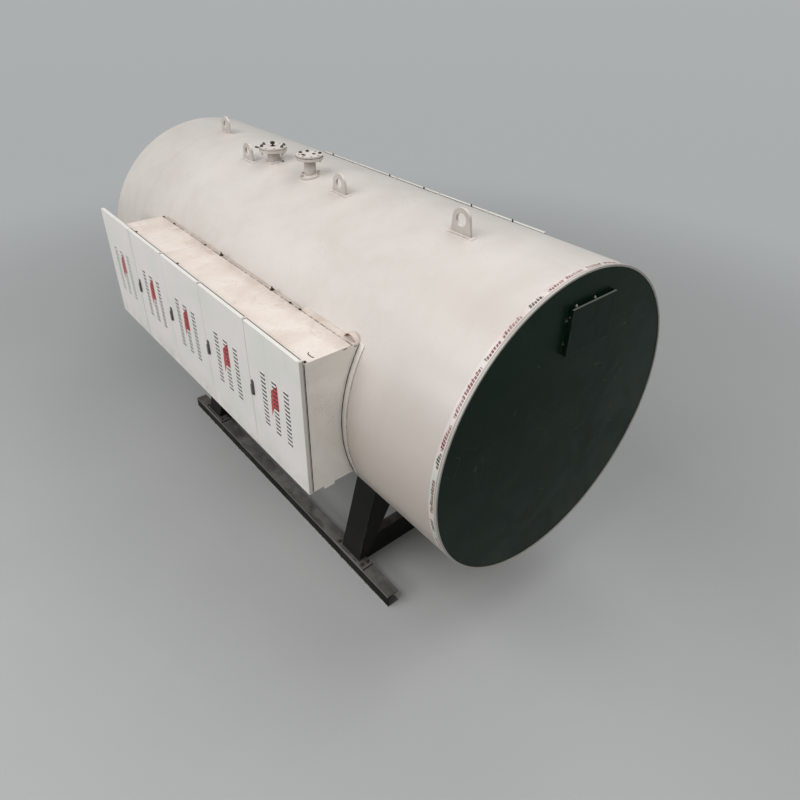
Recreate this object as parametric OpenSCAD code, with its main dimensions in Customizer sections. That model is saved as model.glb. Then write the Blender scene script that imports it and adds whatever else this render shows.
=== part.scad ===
// Horizontal electric steam boiler on a steel skid, with a terminal cabinet on each flank.
// Millimetres, Z up. The front end plate faces +X and the photographed flank faces -Y.
// The origin is under the middle of the whole boiler, on the floor.

/* [Shell] */
// Outside diameter of the painted cladding
shell_d = 1900; // [1700:10:2100]
// Length over both ends of the cladding
shell_len = 4215; // [4195:5:4800]
// Height of the shell's axis above the floor
axis_h = 1540; // [1480:10:1700]
// Cladding, insulation and vessel plate together
shell_wall = 90; // [60:5:140]
// Length of the cladding section behind the seam
rear_section_len = 537; // [300:10:560]
// How far the rear section sits under the front one
seam_step = 3; // [1:1:8]

/* [Ends] */
// Width of the cladding rim round an end plate
rim_w = 10; // [6:1:20]
// How far an end plate lies behind its rim
plate_recess = 4; // [2:1:12]
// Thickness of an end plate
plate_t = 12; // [8:1:20]

/* [Nameplate bracket] */
// Width of the bare bracket
bracket_w = 362; // [240:2:420]
// Height of the bare bracket
bracket_h = 266; // [180:2:320]
// How far its face stands off the end plate
bracket_proud = 32; // [30:1:80]
// Depth of the lip along the bracket's top and bottom
bracket_lip = 18; // [10:1:24]
// Sheet of the bracket
bracket_sheet = 4; // [3:1:6]
// Gap between the bracket and the rim above it
bracket_gap = 156; // [80:1:260]
// Offset of the bracket's middle from the centre line
bracket_y = 66; // [-60:2:90]
// Width of a fixing tab
tab_w = 26; // [18:1:34]
// How far a fixing tab reaches past the bracket
tab_reach = 15; // [12:1:22]
// Bolt hole in a fixing tab
tab_hole = 8; // [6:0.5:10]

/* [Lifting lugs] */
// Thickness of a lug plate
lug_t = 16; // [12:1:24]
// Distance of the first three lugs from the front of the shell
lug_at = [737, 1755, 2841];
// Distance of the last lug from the rear of the shell
last_lug_at = 647; // [560:1:700]
// Sideways place of each lug, towards the photographed flank
lug_side = [140, 222, 281, 83];
// Width of each lug at its base
lug_w = [160, 150, 150, 150];
// Height of each lug above the shell there
lug_h = [152, 128, 128, 132];
// Radius of a lug's round head, as a share of its width
lug_head = 0.41; // [0.36:0.01:0.44]
// Radius of the hole in each lug
lug_hole_r = [38, 31, 31, 30];
// Thickness of the pad plate under a lug
pad_t = 5; // [3:0.5:8]
// How far a pad reaches past the lug at each end
pad_over = 18; // [10:1:30]
// How far a pad reaches past the lug at each side
pad_side = 14; // [8:1:24]

/* [Top nozzles] */
// Distance of each nozzle from the front of the shell
nozzle_at = [2629, 2158];
// Distance of each nozzle from the crown, towards the photographed flank
nozzle_side = [190, 182];
// Height of each flange face above the top of the shell there
nozzle_h = [100, 138];
// Outside diameter of each flange
flange_d = [200, 185];
// Pipe diameter of each nozzle
neck_d = [89, 80];
// Bolt circle of each flange
bolt_circle = [160, 145];
// Bolt hole in the flanges
bolt_hole = 18; // [14:1:18]
// Bolts in each flange
bolt_count = 8; // [4:4:8]
// Thickness of a flange
flange_t = 20; // [16:1:26]
// Thickness of the blind cover on a flange
cover_t = 12; // [8:1:18]
// Wall of the nozzle pipe
neck_wall = 5; // [4:1:8]
// Diameter of the ring round each nozzle's foot
foot_d = [120, 144];
// Thickness of the ring round each nozzle's foot
foot_t = [8, 16];

/* [Skid] */
// Height of a skid beam
beam_h = 100; // [80:5:140]
// Flange width of a skid beam
beam_w = 94; // [80:2:110]
// Plate thickness of the beams
beam_t = 8; // [6:1:12]
// Outer face of a beam from the centre plane
beam_out = 770; // [740:5:800]
// Distance of the beams' front end from the front of the shell
beam_front = 575; // [400:5:700]
// Length of a skid beam
beam_len = 2935; // [2850:5:3100]
// Distance of each leg's front face from the front of the shell
leg_at = [932, 3075];
// Length of a leg along the skid
leg_len = 200; // [160:5:240]
// Plate thickness of a leg
leg_t = 10; // [8:1:14]
// Inward lean of a leg's outer face, in degrees
leg_lean = 14.6; // [10:0.2:17]
// Length of the base plate under a leg
base_len = 350; // [300:5:380]
// Thickness of the base plate under a leg
base_t = 12; // [8:1:16]
// Bolt hole through a base plate and the beam's flange
base_hole = 18; // [12:1:22]
// Distance between the two bolt holes at each end of a base plate
base_hole_gap = 44; // [36:1:50]
// How far a leg's foot stands in from the beam's outer face
foot_inset = 24; // [16:1:34]
// Height of a cross member
cross_h = 200; // [160:5:220]
// Flange width of a cross member
cross_w = 75; // [60:1:90]
// Clearance of a cross member over the floor
cross_lift = 2; // [1:1:10]

/* [Terminal cabinets] */
// Distance of the left cabinet's front edge from the front of the shell
left_cab_at = 767; // [600:1:900]
// Distance of the right cabinet's front edge from the front of the shell
right_cab_at = 1150; // [1100:1:1250]
// Width of one door bay
bay_w = 574; // [540:1:590]
// Height of a door
door_h = 888; // [800:2:960]
// Thickness of a door
door_t = 23; // [20:1:30]
// Gap round a door
door_gap = 6; // [5:1:10]
// Gap between a door's back and the frame, for its seal
seal_gap = 3; // [3:1:6]
// Sheet thickness of doors and cabinet
sheet_t = 3; // [2:0.5:4]
// Outer face of the doors from the centre plane
door_out = 1193; // [1150:1:1260]
// Height of a door's lower edge against the shell's axis
door_z = -376; // [-420:2:-340]
// How far a door stands above the cabinet's top plate
door_rise = 15; // [10:1:25]
// How far the end panel reaches past the cabinet's body
overhang = 416; // [380:2:440]
// Width of the frame members behind the doors
frame_w = 40; // [34:1:60]
// Diameter of a door's hinge pin
pin_d = 8; // [6:1:8]
// Radial clearance of a hinge pin
pin_gap = 0.3; // [0.2:0.1:0.6]
// Distance of a hinge pin from a door's edge and face
pin_inset = 8; // [8:1:9]
// Width of the flashing strip along the shell
flashing_w = 38; // [20:1:40]
// Thickness of the flashing strip
flashing_t = 3; // [2:0.5:4]
// Width of the gutter between the top plate and the shell
gutter_w = 55; // [40:1:70]
// Depth of the gutter
gutter_depth = 20; // [14:1:30]
// Distance of the gutter's cover from the front of the cabinet
cover_at = 120; // [100:1:160]
// Length of the gutter's cover
cover_len = 393; // [300:1:500]
// How far the cover lies below the top plate
cover_drop = 5; // [3:1:8]
// Length of the arched strap at the front corner
strap_len = 104; // [90:1:110]
// Height of the arched strap
strap_h = 34; // [20:1:36]
// Width of the arched strap
strap_w = 28; // [20:1:30]
// Thickness of the arched strap
strap_t = 4; // [2:0.5:5]

/* [Louvres] */
// Rows of louvres in a panel
louvre_rows = 13; // [6:1:16]
// Columns of louvres in a panel
louvre_cols = 3; // [1:1:3]
// Distance between rows
row_pitch = 28.9; // [26:0.1:34]
// Distance between columns
col_pitch = 124; // [100:1:140]
// Height of the middle of the louvres against the shell's axis
louvre_z = 70; // [40:1:100]
// Length of a louvre
louvre_w = 50; // [36:1:60]
// Height of the opening under a louvre's hood
louvre_open = 13; // [6:0.5:13]
// Height of a louvre's hood
hood_h = 7; // [7:0.5:11]
// How far a hood stands off the panel
hood_proud = 3; // [3:0.5:6]
// How far a slot's lower edge falls away behind the sheet's face
slot_relief = 3; // [1:0.5:4]
// Sheet of a hood
hood_t = 1.6; // [1:0.1:2]

/* [Handles] */
// Height of a door handle
handle_h = 108; // [100:2:140]
// Width of a door handle
handle_w = 30; // [26:1:36]
// How far a handle's lever stands off the door
handle_proud = 12; // [8:1:18]
// Distance of a handle from the door's far edge
handle_inset = 7; // [5:1:12]
// Height of the handle's middle against the shell's axis
handle_z = 72; // [20:2:100]
// Thickness of the plate behind the lever
handle_plate = 4; // [3:0.5:6]
// Width of the lever
lever_w = 20; // [14:1:24]
// Length of the lever
lever_len = 76; // [60:2:80]
// Diameter of the lock
lock_d = 16; // [10:1:18]
// How far the lock stands off the door
lock_proud = 7; // [5:0.5:10]

/* [Hidden] */
$fn = 96;

shell_r = shell_d / 2;
bracket_reach = bracket_proud - plate_recess;
front_x = (shell_len - bracket_reach) / 2;
seat = 0.3;
lug_sink = 20;
lug_x = concat(lug_at, [shell_len - last_lug_at]);
door_count = 4;
bays = door_count + 1;
cab_len = bays * bay_w;
body_len = cab_len - overhang;
door_top = door_z + door_h;
top_z = door_top - door_rise;
floor_z = door_z + 6;
body_front = door_out - door_t - seal_gap;
beam_top = beam_h;
beam_in = beam_out - beam_w;
tab_t = 3;
tab_rise = 1;
pin_len = 20;
hinge_block = 40;
hinge_bore = pin_len + 2;
bracket_z = shell_r - rim_w - bracket_gap - bracket_h / 2;
nozzle_root = 40;
foot_out = beam_out - foot_inset;
foot_z = beam_top + base_t;
leg_reach = axis_h - foot_z;
gutter_y = sqrt(shell_r * shell_r - top_z * top_z) + gutter_w;

// Colours as the photograph shows them
cream = [0.86, 0.84, 0.80];
greenish = [0.80, 0.81, 0.77];
end_green = [0.06, 0.12, 0.11];
steel_black = [0.16, 0.16, 0.16];

// Moves a piece from the front of the shell, on its axis, to its place over the floor
module from_front(distance = 0) translate([front_x - distance, 0, axis_h]) children();

// A round bar along X, from the given distance back
module bar_x(r, len, fine = 180)
    rotate([0, -90, 0]) cylinder(r = r, h = len, $fn = fine);

// The shell's outside, a seat's width larger, for cutting what meets it
module shell_cutter() translate([1, 0, 0]) bar_x(shell_r + seat, shell_len + 2);

module shell_tube(r, len) difference() {
    bar_x(r, len);
    translate([1, 0, 0]) bar_x(r - shell_wall, len + 2);
}

module end_pocket() translate([1, 0, 0]) bar_x(shell_r - rim_w, plate_recess + plate_t + 1);

module shell_front() color(cream) from_front() difference() {
    shell_tube(shell_r, shell_len - rear_section_len);
    end_pocket();
}

module shell_rear() color(cream) from_front(shell_len) mirror([1, 0, 0]) difference() {
    shell_tube(shell_r - seam_step, rear_section_len);
    end_pocket();
}

module end_plate() translate([-plate_recess, 0, 0]) bar_x(shell_r - rim_w - seat, plate_t);

module end_plate_front() color(end_green) from_front() end_plate();

module end_plate_rear() color(end_green) from_front(shell_len) mirror([1, 0, 0]) end_plate();

// A face with full sides and narrow lips of folded sheet, held to the end plate by drilled tabs
module nameplate_bracket() color(end_green)
    from_front() translate([-plate_recess, bracket_y, bracket_z]) {
        difference() {
            translate([0, -bracket_w / 2, -bracket_h / 2])
                cube([bracket_proud, bracket_w, bracket_h]);
            translate([-1, bracket_sheet - bracket_w / 2, bracket_sheet - bracket_h / 2])
                cube([bracket_proud - bracket_sheet + 1, bracket_w - 2 * bracket_sheet,
                    bracket_h - 2 * bracket_sheet]);
            translate([-1, bracket_sheet - bracket_w / 2, -bracket_h])
                cube([bracket_proud - bracket_lip + 1, bracket_w - 2 * bracket_sheet, 2 * bracket_h]);
        }
        for (side = [-1, 1], way = [-1, 1])
            translate([0, side * bracket_w / 2, way * bracket_h / 4]) fixing_tab(-side * 90);
    }

// A tab that reaches outward from an edge of the bracket, turned to that edge
module fixing_tab(turn) rotate([turn, 0, 0]) difference() {
    translate([0, -tab_w / 2, -bracket_sheet]) cube([bracket_sheet, tab_w, tab_reach + bracket_sheet]);
    translate([-1, 0, tab_reach / 2]) rotate([0, 90, 0])
        cylinder(d = tab_hole, h = bracket_sheet + 2, $fn = 32);
}

// Outline of a lug: straight flanks that run tangent into a round head about the hole
module lug_outline(w, h, hole_r) {
    head_r = w * lug_head;
    head_z = h - head_r;
    foot = -lug_sink;
    corner = [w / 2, foot - head_z];
    tangent = atan2(corner[1], corner[0]) + acos(head_r / norm(corner));
    touch = [head_r * cos(tangent), head_z + head_r * sin(tangent)];
    difference() {
        union() {
            translate([0, head_z]) circle(r = head_r);
            polygon([[-w / 2, foot], [w / 2, foot], touch, [-touch[0], touch[1]]]);
        }
        translate([0, head_z]) circle(r = hole_r);
    }
}

// Pad plate rolled to the shell, under a lug
module lug_pad(i) {
    pad_len = lug_w[i] + 2 * pad_over;
    pad_w = lug_t + 2 * pad_side;
    intersection() {
        translate([pad_len / 2, 0, 0]) bar_x(shell_r + seat + pad_t, pad_len);
        translate([-pad_len, -pad_w / 2, shell_r / 2]) cube([2 * pad_len, pad_w, shell_r]);
    }
}

// An upright plate beside the crown, cut to the shell, on its pad
module lug(i) color(cream) from_front(lug_x[i]) difference() {
    union() {
        translate([0, lug_t / 2 - lug_side[i], sqrt(shell_r * shell_r - lug_side[i] * lug_side[i])])
            rotate([90, 0, 0]) linear_extrude(lug_t) lug_outline(lug_w[i], lug_h[i], lug_hole_r[i]);
        rotate([asin(lug_side[i] / shell_r), 0, 0]) lug_pad(i);
    }
    translate([lug_w[i], 0, 0]) bar_x(shell_r + seat, 2 * lug_w[i]);
}

// Height of the shell over its axis at nozzle i
function nozzle_foot(i) = sqrt(shell_r * shell_r - nozzle_side[i] * nozzle_side[i]);

module bolt_holes(i, t) for (k = [0 : bolt_count - 1])
    rotate((k + 0.5) * 360 / bolt_count) translate([bolt_circle[i] / 2, 0, -1])
        cylinder(d = bolt_hole, h = t + 2, $fn = 32);

module at_nozzle(i) from_front(nozzle_at[i])
    translate([0, -nozzle_side[i], nozzle_foot(i)]) children();

// Reinforcing ring rolled to the shell, round the foot of nozzle i
module foot_ring(i) intersection() {
    at_nozzle(i) translate([0, 0, -nozzle_root]) cylinder(d = foot_d[i], h = 2 * nozzle_root);
    from_front(nozzle_at[i]) translate([foot_d[i] / 2, 0, 0])
        bar_x(shell_r + seat + foot_t[i], foot_d[i]);
}

// A pipe neck with a flange that a slightly smaller blind cover closes
module nozzle_body(i) {
    translate([0, 0, -nozzle_root]) cylinder(d = neck_d[i], h = nozzle_h[i] + nozzle_root);
    translate([0, 0, nozzle_h[i] - flange_t]) difference() {
        union() {
            cylinder(d = flange_d[i], h = flange_t);
            translate([0, 0, flange_t]) cylinder(d = flange_d[i] - 4, h = cover_t);
        }
        bolt_holes(i, flange_t + cover_t);
    }
}

module nozzle(i) color(cream) difference() {
    union() {
        foot_ring(i);
        at_nozzle(i) nozzle_body(i);
    }
    at_nozzle(i) translate([0, 0, -neck_d[i]])
        cylinder(d = neck_d[i] - 2 * neck_wall, h = nozzle_h[i] + neck_d[i]);
    from_front() shell_cutter();
}

// A channel on edge: web outward, flanges inward
module beam_profile() difference() {
    square([beam_w, beam_h]);
    translate([beam_t, beam_t]) square([beam_w, beam_h - 2 * beam_t]);
}

// Bolt holes at both ends of leg i's base plate, through the beam's top flange
module base_holes(i) for (way = [-1, 1], across = [-1, 1])
    translate([front_x - leg_at[i] - leg_len / 2 + way * (leg_len + base_len) / 4,
        -beam_out + beam_w / 2 + across * base_hole_gap / 2, beam_top - beam_t - 1])
        cylinder(d = base_hole, h = beam_t + base_t + 2, $fn = 32);

module skid_beam(side) color(steel_black) mirror([0, side, 0]) difference() {
    translate([front_x - beam_front, -beam_out, 0]) rotate([90, 0, -90])
        mirror([1, 0, 0]) linear_extrude(beam_len) beam_profile();
    for (i = [0, 1]) base_holes(i);
}

// A channel across the skid, between the beams and through the legs
module cross_member(i) color(steel_black) {
    mid = leg_at[i] + leg_len / 2;
    translate([front_x - mid - cross_w / 2, -beam_in, cross_lift]) difference() {
        cube([cross_w, 2 * beam_in, cross_h]);
        translate([-1, -1, beam_t]) cube([cross_w - beam_t + 1, 2 * beam_in + 2, cross_h - 2 * beam_t]);
    }
}

// Outline of a leg across the boiler, from its base plate to inside the shell
module leg_outline() polygon([
    [-foot_out, foot_z],
    [leg_reach * tan(leg_lean) - foot_out, foot_z + leg_reach],
    [-beam_in + leg_reach * tan(2 * leg_lean), foot_z + leg_reach],
    [-beam_in, foot_z]]);

// What lies inside the web of a leg, wider than the leg at each end
module leg_hollow() polygon([
    [-foot_out - leg_reach * tan(leg_lean), foot_z - leg_reach],
    [2 * leg_reach * tan(leg_lean) - foot_out, foot_z + 2 * leg_reach],
    [0, foot_z + 2 * leg_reach],
    [0, foot_z - leg_reach]]);

// Stands an outline drawn across the boiler upright and gives it a length towards the rear
module along(at, len) translate([front_x - at, 0, 0]) rotate([90, 0, -90]) mirror([1, 0, 0])
    linear_extrude(len) children();

// A channel with its web outward, open towards the middle of the boiler
module leg(i) difference() {
    along(leg_at[i], leg_len) leg_outline();
    along(leg_at[i] + leg_t, leg_len - 2 * leg_t) translate([leg_t / cos(leg_lean), 0]) leg_hollow();
    from_front() shell_cutter();
}

module base_plate(i) translate([front_x - leg_at[i] - (leg_len + base_len) / 2, -beam_out, beam_top])
    cube([base_len, beam_w, base_t]);

module skid_leg(i, side) color(steel_black) mirror([0, side, 0]) difference() {
    union() {
        leg(i);
        base_plate(i);
    }
    base_holes(i);
}

// Both cabinets are one design: the right one is the left one turned round about a vertical axis
module at_cabinet(right) {
    if (right)
        translate([front_x - right_cab_at - cab_len, 0, 0]) rotate([0, 0, 180]) children();
    else
        translate([front_x - left_cab_at, 0, 0]) children();
}

// A plate from x0 to x1 back from the cabinet's front, y_out to y_in from the centre plane
// and z0 to z1 over the axis
module plate(x0, x1, y_out, y_in, z0, z1) translate([-x1, -y_out, axis_h + z0])
    cube([x1 - x0, y_out - y_in, z1 - z0]);

module long_shell_cutter() translate([shell_len, 0, axis_h]) bar_x(shell_r + seat, 3 * shell_len);

// Top plate, folded down along the shell into a gutter that a short cover closes at the front
module cabinet_top() {
    deep = shell_r / 2;
    gutter_z = top_z - gutter_depth;
    cover_z = top_z - cover_drop;
    difference() {
        union() {
            plate(0, body_len, body_front, gutter_y, top_z - sheet_t, top_z);
            plate(0, cover_at, body_front, deep, top_z - sheet_t, top_z);
            plate(sheet_t, body_len - sheet_t, gutter_y + sheet_t, gutter_y, gutter_z, top_z);
            plate(sheet_t, body_len - sheet_t, gutter_y + sheet_t, deep, gutter_z - sheet_t, gutter_z);
            plate(cover_at - 1, cover_at + cover_len, gutter_y + 1, deep, cover_z - sheet_t, cover_z);
        }
        long_shell_cutter();
    }
    arched_strap();
}

// A strap that bows up over the front end of the gutter
module arched_strap() {
    arch_r = (strap_len * strap_len / 4 + strap_h * strap_h) / (2 * strap_h);
    translate([-strap_len / 2 - strap_t, gutter_w - gutter_y - strap_t, axis_h + top_z]) intersection() {
        translate([0, 0, strap_h - arch_r]) rotate([90, 0, 0]) difference() {
            cylinder(r = arch_r, h = strap_w);
            translate([0, 0, -1]) cylinder(r = arch_r - strap_t, h = strap_w + 2);
        }
        translate([-strap_len, -2 * strap_w, -1]) cube([2 * strap_len, 3 * strap_w, 2 * strap_h]);
    }
}

module cabinet_floor() difference() {
    plate(0, body_len, body_front, shell_r / 2, floor_z, floor_z + sheet_t);
    long_shell_cutter();
}

module cabinet_end(x) difference() {
    plate(x, x + sheet_t, body_front, shell_r / 2, floor_z + sheet_t, top_z - sheet_t);
    long_shell_cutter();
}

module cabinet_front_end() {
    cabinet_end(0);
    flashing();
}

// Front frame: rails and posts of folded sheet behind the doors' edges, with the hinge tabs
module cabinet_frame() {
    inner_h = top_z - floor_z - 2 * sheet_t;
    inner_len = body_len - 2 * sheet_t;
    translate([-inner_len - sheet_t, -body_front, axis_h + floor_z + sheet_t]) difference() {
        cube([inner_len, frame_w / 2, inner_h]);
        for (k = [0 : bays - 1]) {
            bay_near = max(k * bay_w, sheet_t) + frame_w / 2;
            bay_far = min((k + 1) * bay_w, body_len) - frame_w / 2;
            translate([inner_len + sheet_t - bay_far, -1, frame_w])
                cube([bay_far - bay_near, frame_w, inner_h - 2 * frame_w]);
        }
    }
    for (k = [0 : door_count - 1]) hinge_tabs(k);
}

// Where door k turns: its own near edge, inside its outer face
function pin_x(k) = -(k * bay_w + door_gap / 2 + pin_inset);
pin_y = -(door_out - pin_inset);

// The tab over a door and the one under it, each with its pin
module hinge_tabs(k) for (top = [0, 1]) translate([pin_x(k), 0, axis_h]) {
    ear_w = 2 * pin_inset;
    ear_out = door_out - 1;
    stem_z = top ? top_z : door_z - tab_rise;
    stem_h = top ? door_rise + tab_rise : floor_z - door_z + tab_rise;
    translate([-ear_w / 2, -ear_out, top ? door_top + tab_rise : door_z - tab_rise - tab_t])
        cube([ear_w, ear_out - body_front + tab_t, tab_t]);
    translate([-ear_w / 2, -body_front, stem_z]) cube([ear_w, tab_t, stem_h]);
    translate([0, pin_y, top ? door_top + tab_rise - pin_len : door_z - tab_rise])
        cylinder(d = pin_d, h = pin_len, $fn = 32);
}

// A folded sheet pan, open at the back
module pan(w, depth) difference() {
    cube([w, depth, door_h]);
    translate([sheet_t, sheet_t, sheet_t])
        cube([w - 2 * sheet_t, depth, door_h - 2 * sheet_t]);
}

// Puts its children at each louvre of a panel: the lip of its hood, on the panel's face
module at_louvres(w) for (c = [0 : louvre_cols - 1], r = [0 : louvre_rows - 1])
    translate([w / 2 + (c - (louvre_cols - 1) / 2) * col_pitch, 0,
        louvre_z - door_z + (r - (louvre_rows - 1) / 2) * row_pitch]) children();

// Draws a louvre's section, outward to the left and up, and gives it a width along the panel
module louvre_bar(w) translate([-w / 2, 0, 0]) rotate([90, 0, 90]) linear_extrude(w) children();

// Hoods pressed outward over the panel's slots
module hoods(w) at_louvres(w) louvre_bar(louvre_w)
    polygon([[1, 0], [-hood_proud, 0], [0, hood_h], [1, hood_h]]);

// The slot under each hood, with its lower edge leaning inward, and the hollow behind it
module louvre_slots(w) {
    mouth = hood_proud - hood_t;
    throat = hood_h * mouth / hood_proud;
    at_louvres(w) louvre_bar(louvre_w - 2 * hood_t)
        polygon([[sheet_t, -louvre_open - slot_relief], [0, -louvre_open], [-mouth, -louvre_open],
            [-mouth, 0], [0, throat], [sheet_t + 1, throat], [sheet_t + 1, -louvre_open - slot_relief]]);
}

// A louvred pan with a block at each hinge corner and a round hinge edge
module cabinet_door(k) {
    w = bay_w - door_gap;
    translate([-k * bay_w - door_gap / 2 - w, -door_out, axis_h + door_z]) difference() {
        union() {
            pan(w, door_t);
            for (z = [0, door_h - hinge_block]) translate([w - 2 * pin_inset - 2, 0, z])
                cube([2 * pin_inset + 2, door_t, hinge_block]);
            hoods(w);
        }
        louvre_slots(w);
        for (z = [-1, door_h - hinge_bore]) translate([w - pin_inset, pin_inset, z])
            cylinder(d = pin_d + 2 * pin_gap, h = hinge_bore + 1, $fn = 32);
        // Round outer edge that turns inside the neighbour's gap
        translate([w - pin_inset, -1, -1]) difference() {
            cube([pin_inset + 1, pin_inset + 1, door_h + 2]);
            translate([0, pin_inset + 1, 0]) cylinder(r = pin_inset, h = door_h + 2, $fn = 64);
        }
    }
}

module slot_shape(w, len) {
    square([w, len - w], center = true);
    for (way = [-1, 1]) translate([0, way * (len - w) / 2]) circle(d = w);
}

// A flat lever with a round lock above it, on a plate with round ends
module handle(k) {
    far_edge = -((k + 1) * bay_w - door_gap / 2);
    spare = (handle_h - lever_len) / 2;
    translate([far_edge + handle_inset + handle_w / 2, -door_out, axis_h + handle_z])
        rotate([90, 0, 0]) {
            linear_extrude(handle_plate) slot_shape(handle_w, handle_h);
            translate([0, -spare + 4]) linear_extrude(handle_proud) slot_shape(lever_w, lever_len);
            translate([0, handle_h / 2 - lock_d / 2 - 4]) cylinder(d = lock_d, h = lock_proud);
        }
}

// The fixed fifth panel: it lies on the end of the body and runs on past it
module end_panel() {
    w = bay_w - door_gap;
    translate([-door_count * bay_w - door_gap / 2 - w, -door_out, axis_h + door_z]) difference() {
        union() {
            pan(w, door_t + seal_gap);
            hoods(w);
        }
        louvre_slots(w);
    }
}

// Flashing along the shell: round the end wall and along the top plate
module flashing() {
    difference() {
        translate([flashing_w, 0, axis_h]) rotate([0, -90, 0]) difference() {
            cylinder(r = shell_r + seat + flashing_t, h = flashing_w + sheet_t, $fn = 180);
            translate([0, 0, -1]) cylinder(r = shell_r + seat, h = flashing_w + sheet_t + 2, $fn = 180);
        }
        translate([-sheet_t - 1, -2 * shell_r, axis_h + top_z - sheet_t])
            cube([flashing_w + sheet_t + 2, 4 * shell_r, 2 * shell_r]);
        translate([-sheet_t - 1, -2 * shell_r, axis_h + floor_z + sheet_t - 2 * shell_r])
            cube([flashing_w + sheet_t + 2, 4 * shell_r, 2 * shell_r]);
        translate([-sheet_t - 1, 0, 0]) cube([flashing_w + sheet_t + 2, 2 * shell_r, 2 * axis_h]);
    }
}

module left_cabinet_top() color(cream) at_cabinet(false) cabinet_top();
module left_cabinet_floor() color(cream) at_cabinet(false) cabinet_floor();
module left_cabinet_front_end() color(cream) at_cabinet(false) cabinet_front_end();
module left_cabinet_rear_end() color(cream) at_cabinet(false) cabinet_end(body_len - sheet_t);
module left_cabinet_frame() color(cream) at_cabinet(false) cabinet_frame();
module left_end_panel() color(greenish) at_cabinet(false) end_panel();
module left_door(k) color(greenish) at_cabinet(false) cabinet_door(k - 1);
module left_handle(k) color(steel_black) at_cabinet(false) handle(k - 1);
module right_cabinet_top() color(cream) at_cabinet(true) cabinet_top();
module right_cabinet_floor() color(cream) at_cabinet(true) cabinet_floor();
module right_cabinet_front_end() color(cream) at_cabinet(true) cabinet_front_end();
module right_cabinet_rear_end() color(cream) at_cabinet(true) cabinet_end(body_len - sheet_t);
module right_cabinet_frame() color(cream) at_cabinet(true) cabinet_frame();
module right_end_panel() color(greenish) at_cabinet(true) end_panel();
module right_door(k) color(greenish) at_cabinet(true) cabinet_door(k - 1);
module right_handle(k) color(steel_black) at_cabinet(true) handle(k - 1);

shell_front();
shell_rear();
end_plate_front();
end_plate_rear();
nameplate_bracket();
lug(0);  // lifting_lug_1
lug(1);  // lifting_lug_2
lug(2);  // lifting_lug_3
lug(3);  // lifting_lug_4
nozzle(0);  // nozzle_1
nozzle(1);  // nozzle_2
skid_beam(0);  // left_beam
skid_beam(1);  // right_beam
cross_member(0);  // front_cross_member
cross_member(1);  // rear_cross_member
skid_leg(0, 0);  // front_left_leg
skid_leg(0, 1);  // front_right_leg
skid_leg(1, 0);  // rear_left_leg
skid_leg(1, 1);  // rear_right_leg
left_cabinet_top();
left_cabinet_floor();
left_cabinet_front_end();
left_cabinet_rear_end();
left_cabinet_frame();
left_end_panel();
left_door(1);  // left_door_1
left_door(2);  // left_door_2
left_door(3);  // left_door_3
left_door(4);  // left_door_4
left_handle(1);  // left_handle_1
left_handle(2);  // left_handle_2
left_handle(3);  // left_handle_3
left_handle(4);  // left_handle_4
right_cabinet_top();
right_cabinet_floor();
right_cabinet_front_end();
right_cabinet_rear_end();
right_cabinet_frame();
right_end_panel();
right_door(1);  // right_door_1
right_door(2);  // right_door_2
right_door(3);  // right_door_3
right_door(4);  // right_door_4
right_handle(1);  // right_handle_1
right_handle(2);  // right_handle_2
right_handle(3);  // right_handle_3
right_handle(4);  // right_handle_4
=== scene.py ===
"""Looks of a horizontal boiler: a clad shell on a steel skid, with louvred terminal cabinets on both flanks."""

import math

import bmesh
import bpy
from mathutils import Matrix, Vector


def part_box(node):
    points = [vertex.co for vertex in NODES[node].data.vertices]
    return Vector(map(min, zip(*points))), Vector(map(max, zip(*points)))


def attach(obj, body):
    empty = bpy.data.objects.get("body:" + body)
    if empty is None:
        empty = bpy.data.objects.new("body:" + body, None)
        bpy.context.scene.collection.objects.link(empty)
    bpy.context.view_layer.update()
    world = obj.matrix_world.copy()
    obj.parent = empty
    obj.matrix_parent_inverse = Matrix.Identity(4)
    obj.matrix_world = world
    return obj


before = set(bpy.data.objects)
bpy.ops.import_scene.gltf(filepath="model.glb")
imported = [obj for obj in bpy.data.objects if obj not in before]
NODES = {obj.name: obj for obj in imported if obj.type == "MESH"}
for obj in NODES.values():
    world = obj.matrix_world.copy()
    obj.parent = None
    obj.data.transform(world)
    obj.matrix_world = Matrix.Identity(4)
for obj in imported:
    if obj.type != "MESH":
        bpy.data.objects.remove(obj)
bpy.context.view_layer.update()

# Sizes and places in metres, read from the frame where it holds them
SHELL_LOW, SHELL_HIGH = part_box("shell_front")
FRONT = SHELL_HIGH.x                # front edge of the cladding
SEAM = SHELL_LOW.x                  # where the rear section starts
RADIUS = (SHELL_HIGH.z - SHELL_LOW.z) / 2
AXIS = SHELL_HIGH.z - RADIUS        # height of the shell's axis
REAR_RADIUS = RADIUS - 0.003
BAY = 0.574                         # width of a door and its gap
LEFT_EDGE = FRONT - 0.767           # near edge of the left row of doors
RIGHT_EDGE = FRONT - 1.150          # near edge of the right row of doors
DOOR_FACE = 1.193                   # outer face of the doors from the centre plane
TOP_PLATE = AXIS + 0.497            # upper face of the cabinets' top plates
DOOR_LOW = AXIS - 0.376             # lower edge of the doors
BODY_FRONT = 1.167                  # front of the cabinets behind the doors
SIDES = ("left", "right")


# node building
def put(socket, value):
    """Joins a socket to another one, or gives it a value of its own."""
    if isinstance(value, bpy.types.NodeSocket):
        socket.id_data.links.new(value, socket)
    else:
        socket.default_value = value


def node(tree, kind, values=None, **settings):
    made = tree.nodes.new(kind)
    for key, value in settings.items():
        setattr(made, key, value)
    for key, value in (values or {}).items():
        put(made.inputs[key], value)
    return made


def calc(tree, operation, *values, clamp=False):
    return node(tree, "ShaderNodeMath", dict(enumerate(values)), operation=operation, use_clamp=clamp).outputs[0]


def times(tree, first, second):
    return calc(tree, "MULTIPLY", first, second)


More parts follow.
